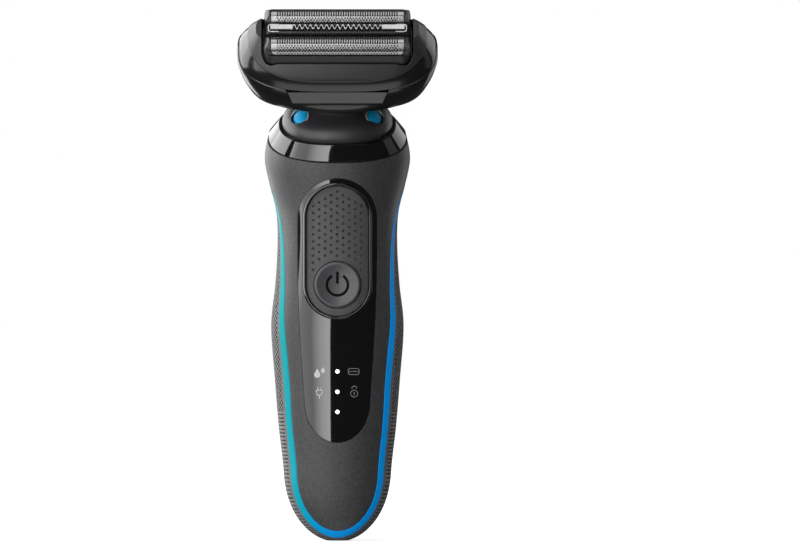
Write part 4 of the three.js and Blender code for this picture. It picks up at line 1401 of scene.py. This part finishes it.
KEPT = {
    "plain_steel": STEEL, "blade_steel": BLADE, "brass_parts": BRASS, "grip_rubber": RUBBER,
    "inner_plastic": INNER, "white_plastic": WHITE, "lamp_white": LAMP, "gloss_black": GLOSS,
    "rocker_plastic": ROCKER, "cell_wrap": WRAP, "board_green": BOARD, "satin_black": SATIN,
    "foil_steel": STEEL, "release_blue": BLUE, "blue_trim": TRIM_BLUE,
    "charcoal_plastic": CHARCOAL,
}
for entry in frame["record"]["subparts"]:
    for place in frame["nodes"][entry["node"]].material_slots:
        place.material = KEPT[entry["material_slot"]]
# The trimmer blade gets the near-black steel: painted shade, where it sits in shadow under the comb.
frame["nodes"]["trimmer_blade"].material_slots[0].material = SHADED_BLADE

# ---------- camera, floor and light

MIDDLE_HEIGHT = 0.0826
DISTANCE = 2.5
FRAME_WIDTH = 0.248
SIDE_SHIFT = 0.0194
SENSOR = 36

camera = bpy.data.objects.new("camera", bpy.data.cameras.new("camera"))
bpy.context.scene.collection.objects.link(camera)
bpy.context.scene.camera = camera
camera.location = (0, -DISTANCE, MIDDLE_HEIGHT)
camera.rotation_euler = (math.radians(90), 0, 0)
camera.data.sensor_width = SENSOR
camera.data.lens = SENSOR * DISTANCE / FRAME_WIDTH
camera.data.shift_x = SIDE_SHIFT / FRAME_WIDTH

FLOOR_HALF = 4.0
corners = [(-1, -1), (1, -1), (1, 1), (-1, 1)]
floor = solid("floor", [(x * FLOOR_HALF, y * FLOOR_HALF, 0) for x, y in corners], [(0, 1, 2, 3)])
paper = Shader("paper")
paper.set(
    Base_Color=paper.ramp(paper.noise(40), [(0.3, (0.56, 0.56, 0.56)), (0.7, (0.6, 0.6, 0.6))]),
    Emission_Color=paper.ramp(paper.noise(40), [(0.3, (0.98, 0.98, 0.98)), (0.7, (1, 1, 1))]),
    Roughness=paper.span(paper.noise(200), 0.7, 0.85),
)
# The paper is darkest under the shaver and blends into the backdrop further out.
distance = paper.add("ShaderNodeVectorMath", operation="LENGTH")
paper.link(paper.place, distance.inputs[0])
paper.set(Emission_Strength=paper.span(distance.outputs["Value"], 0.72, 1.02, 0.1, 0.6))
floor.data.materials.append(paper.material)
floor.visible_diffuse = False
floor.visible_glossy = False
floor.visible_shadow = False

world = bpy.data.worlds.new("studio")
bpy.context.scene.world = world
sky = Wiring(world, "Background")
paths = sky.add("ShaderNodeLightPath")
backdrop = sky.add("ShaderNodeMix", data_type="FLOAT")
backdrop.inputs["A"].default_value = 0.05
backdrop.inputs["B"].default_value = 1.0
sky.link(paths.outputs["Is Camera Ray"], backdrop.inputs["Factor"])
sky.body.inputs["Color"].default_value = (1, 1, 1, 1)
sky.set(Strength=backdrop.outputs["Result"])

PANELS_AIM = Vector((0, 0, 0.09))


def panel(name, azimuth, elevation, distance, width, height, radiance):
    """A soft studio panel round the shaver: azimuth 0 is in front, positive is to the left."""
    lamp = bpy.data.lights.new(name, "AREA")
    lamp.shape = "RECTANGLE"
    lamp.size, lamp.size_y = width, height
    lamp.energy = radiance * width * height * math.pi
    lit = bpy.data.objects.new(name, lamp)
    bpy.context.scene.collection.objects.link(lit)
    turn, lift = math.radians(azimuth), math.radians(elevation)
    away = Vector((-math.sin(turn) * math.cos(lift), -math.cos(turn) * math.cos(lift),
                   math.sin(lift)))
    lit.location = PANELS_AIM + away * distance
    lit.rotation_euler = (-away).to_track_quat("-Z", "Y").to_euler()
    lit.visible_camera = False
    return lit


def grade(lit, stops):
    """Makes a panel's light uneven across its width: (place, half the level) stops."""
    glow = Wiring(lit.data, "Emission")
    place = glow.add("ShaderNodeNewGeometry")
    axes = glow.add("ShaderNodeSeparateXYZ")
    glow.link(place.outputs["Parametric"], axes.inputs["Vector"])
    level = glow.ramp(axes.outputs["X"], [(at, (half,) * 3) for at, half in stops])
    glow.set(Strength=glow.math("MULTIPLY", level, 2.0))


front_left = panel("front_left_panel", 29, 10, 0.9, 0.84, 1.15, 2.6)
grade(front_left, [(0.0, 0.85), (0.25, 0.42), (0.55, 0.34), (0.8, 0.8), (1.0, 1.0)])
panel("far_left_panel", 97, 18, 0.8, 0.8, 0.9, 4.6)
panel("rear_left_panel", 142, 6, 0.9, 0.5, 1.2, 3.0)
panel("rear_right_panel", -128, 8, 0.9, 0.7, 1.2, 1.0)
panel("right_panel", -80, 14, 0.9, 0.4, 0.9, 0.3)
panel("floor_panel", 0, -66, 0.6, 0.5, 0.4, 1.25)
panel("top_panel", 10, 72, 0.9, 0.8, 0.6, 1.4)

bpy.context.scene.view_settings.view_transform = "Standard"
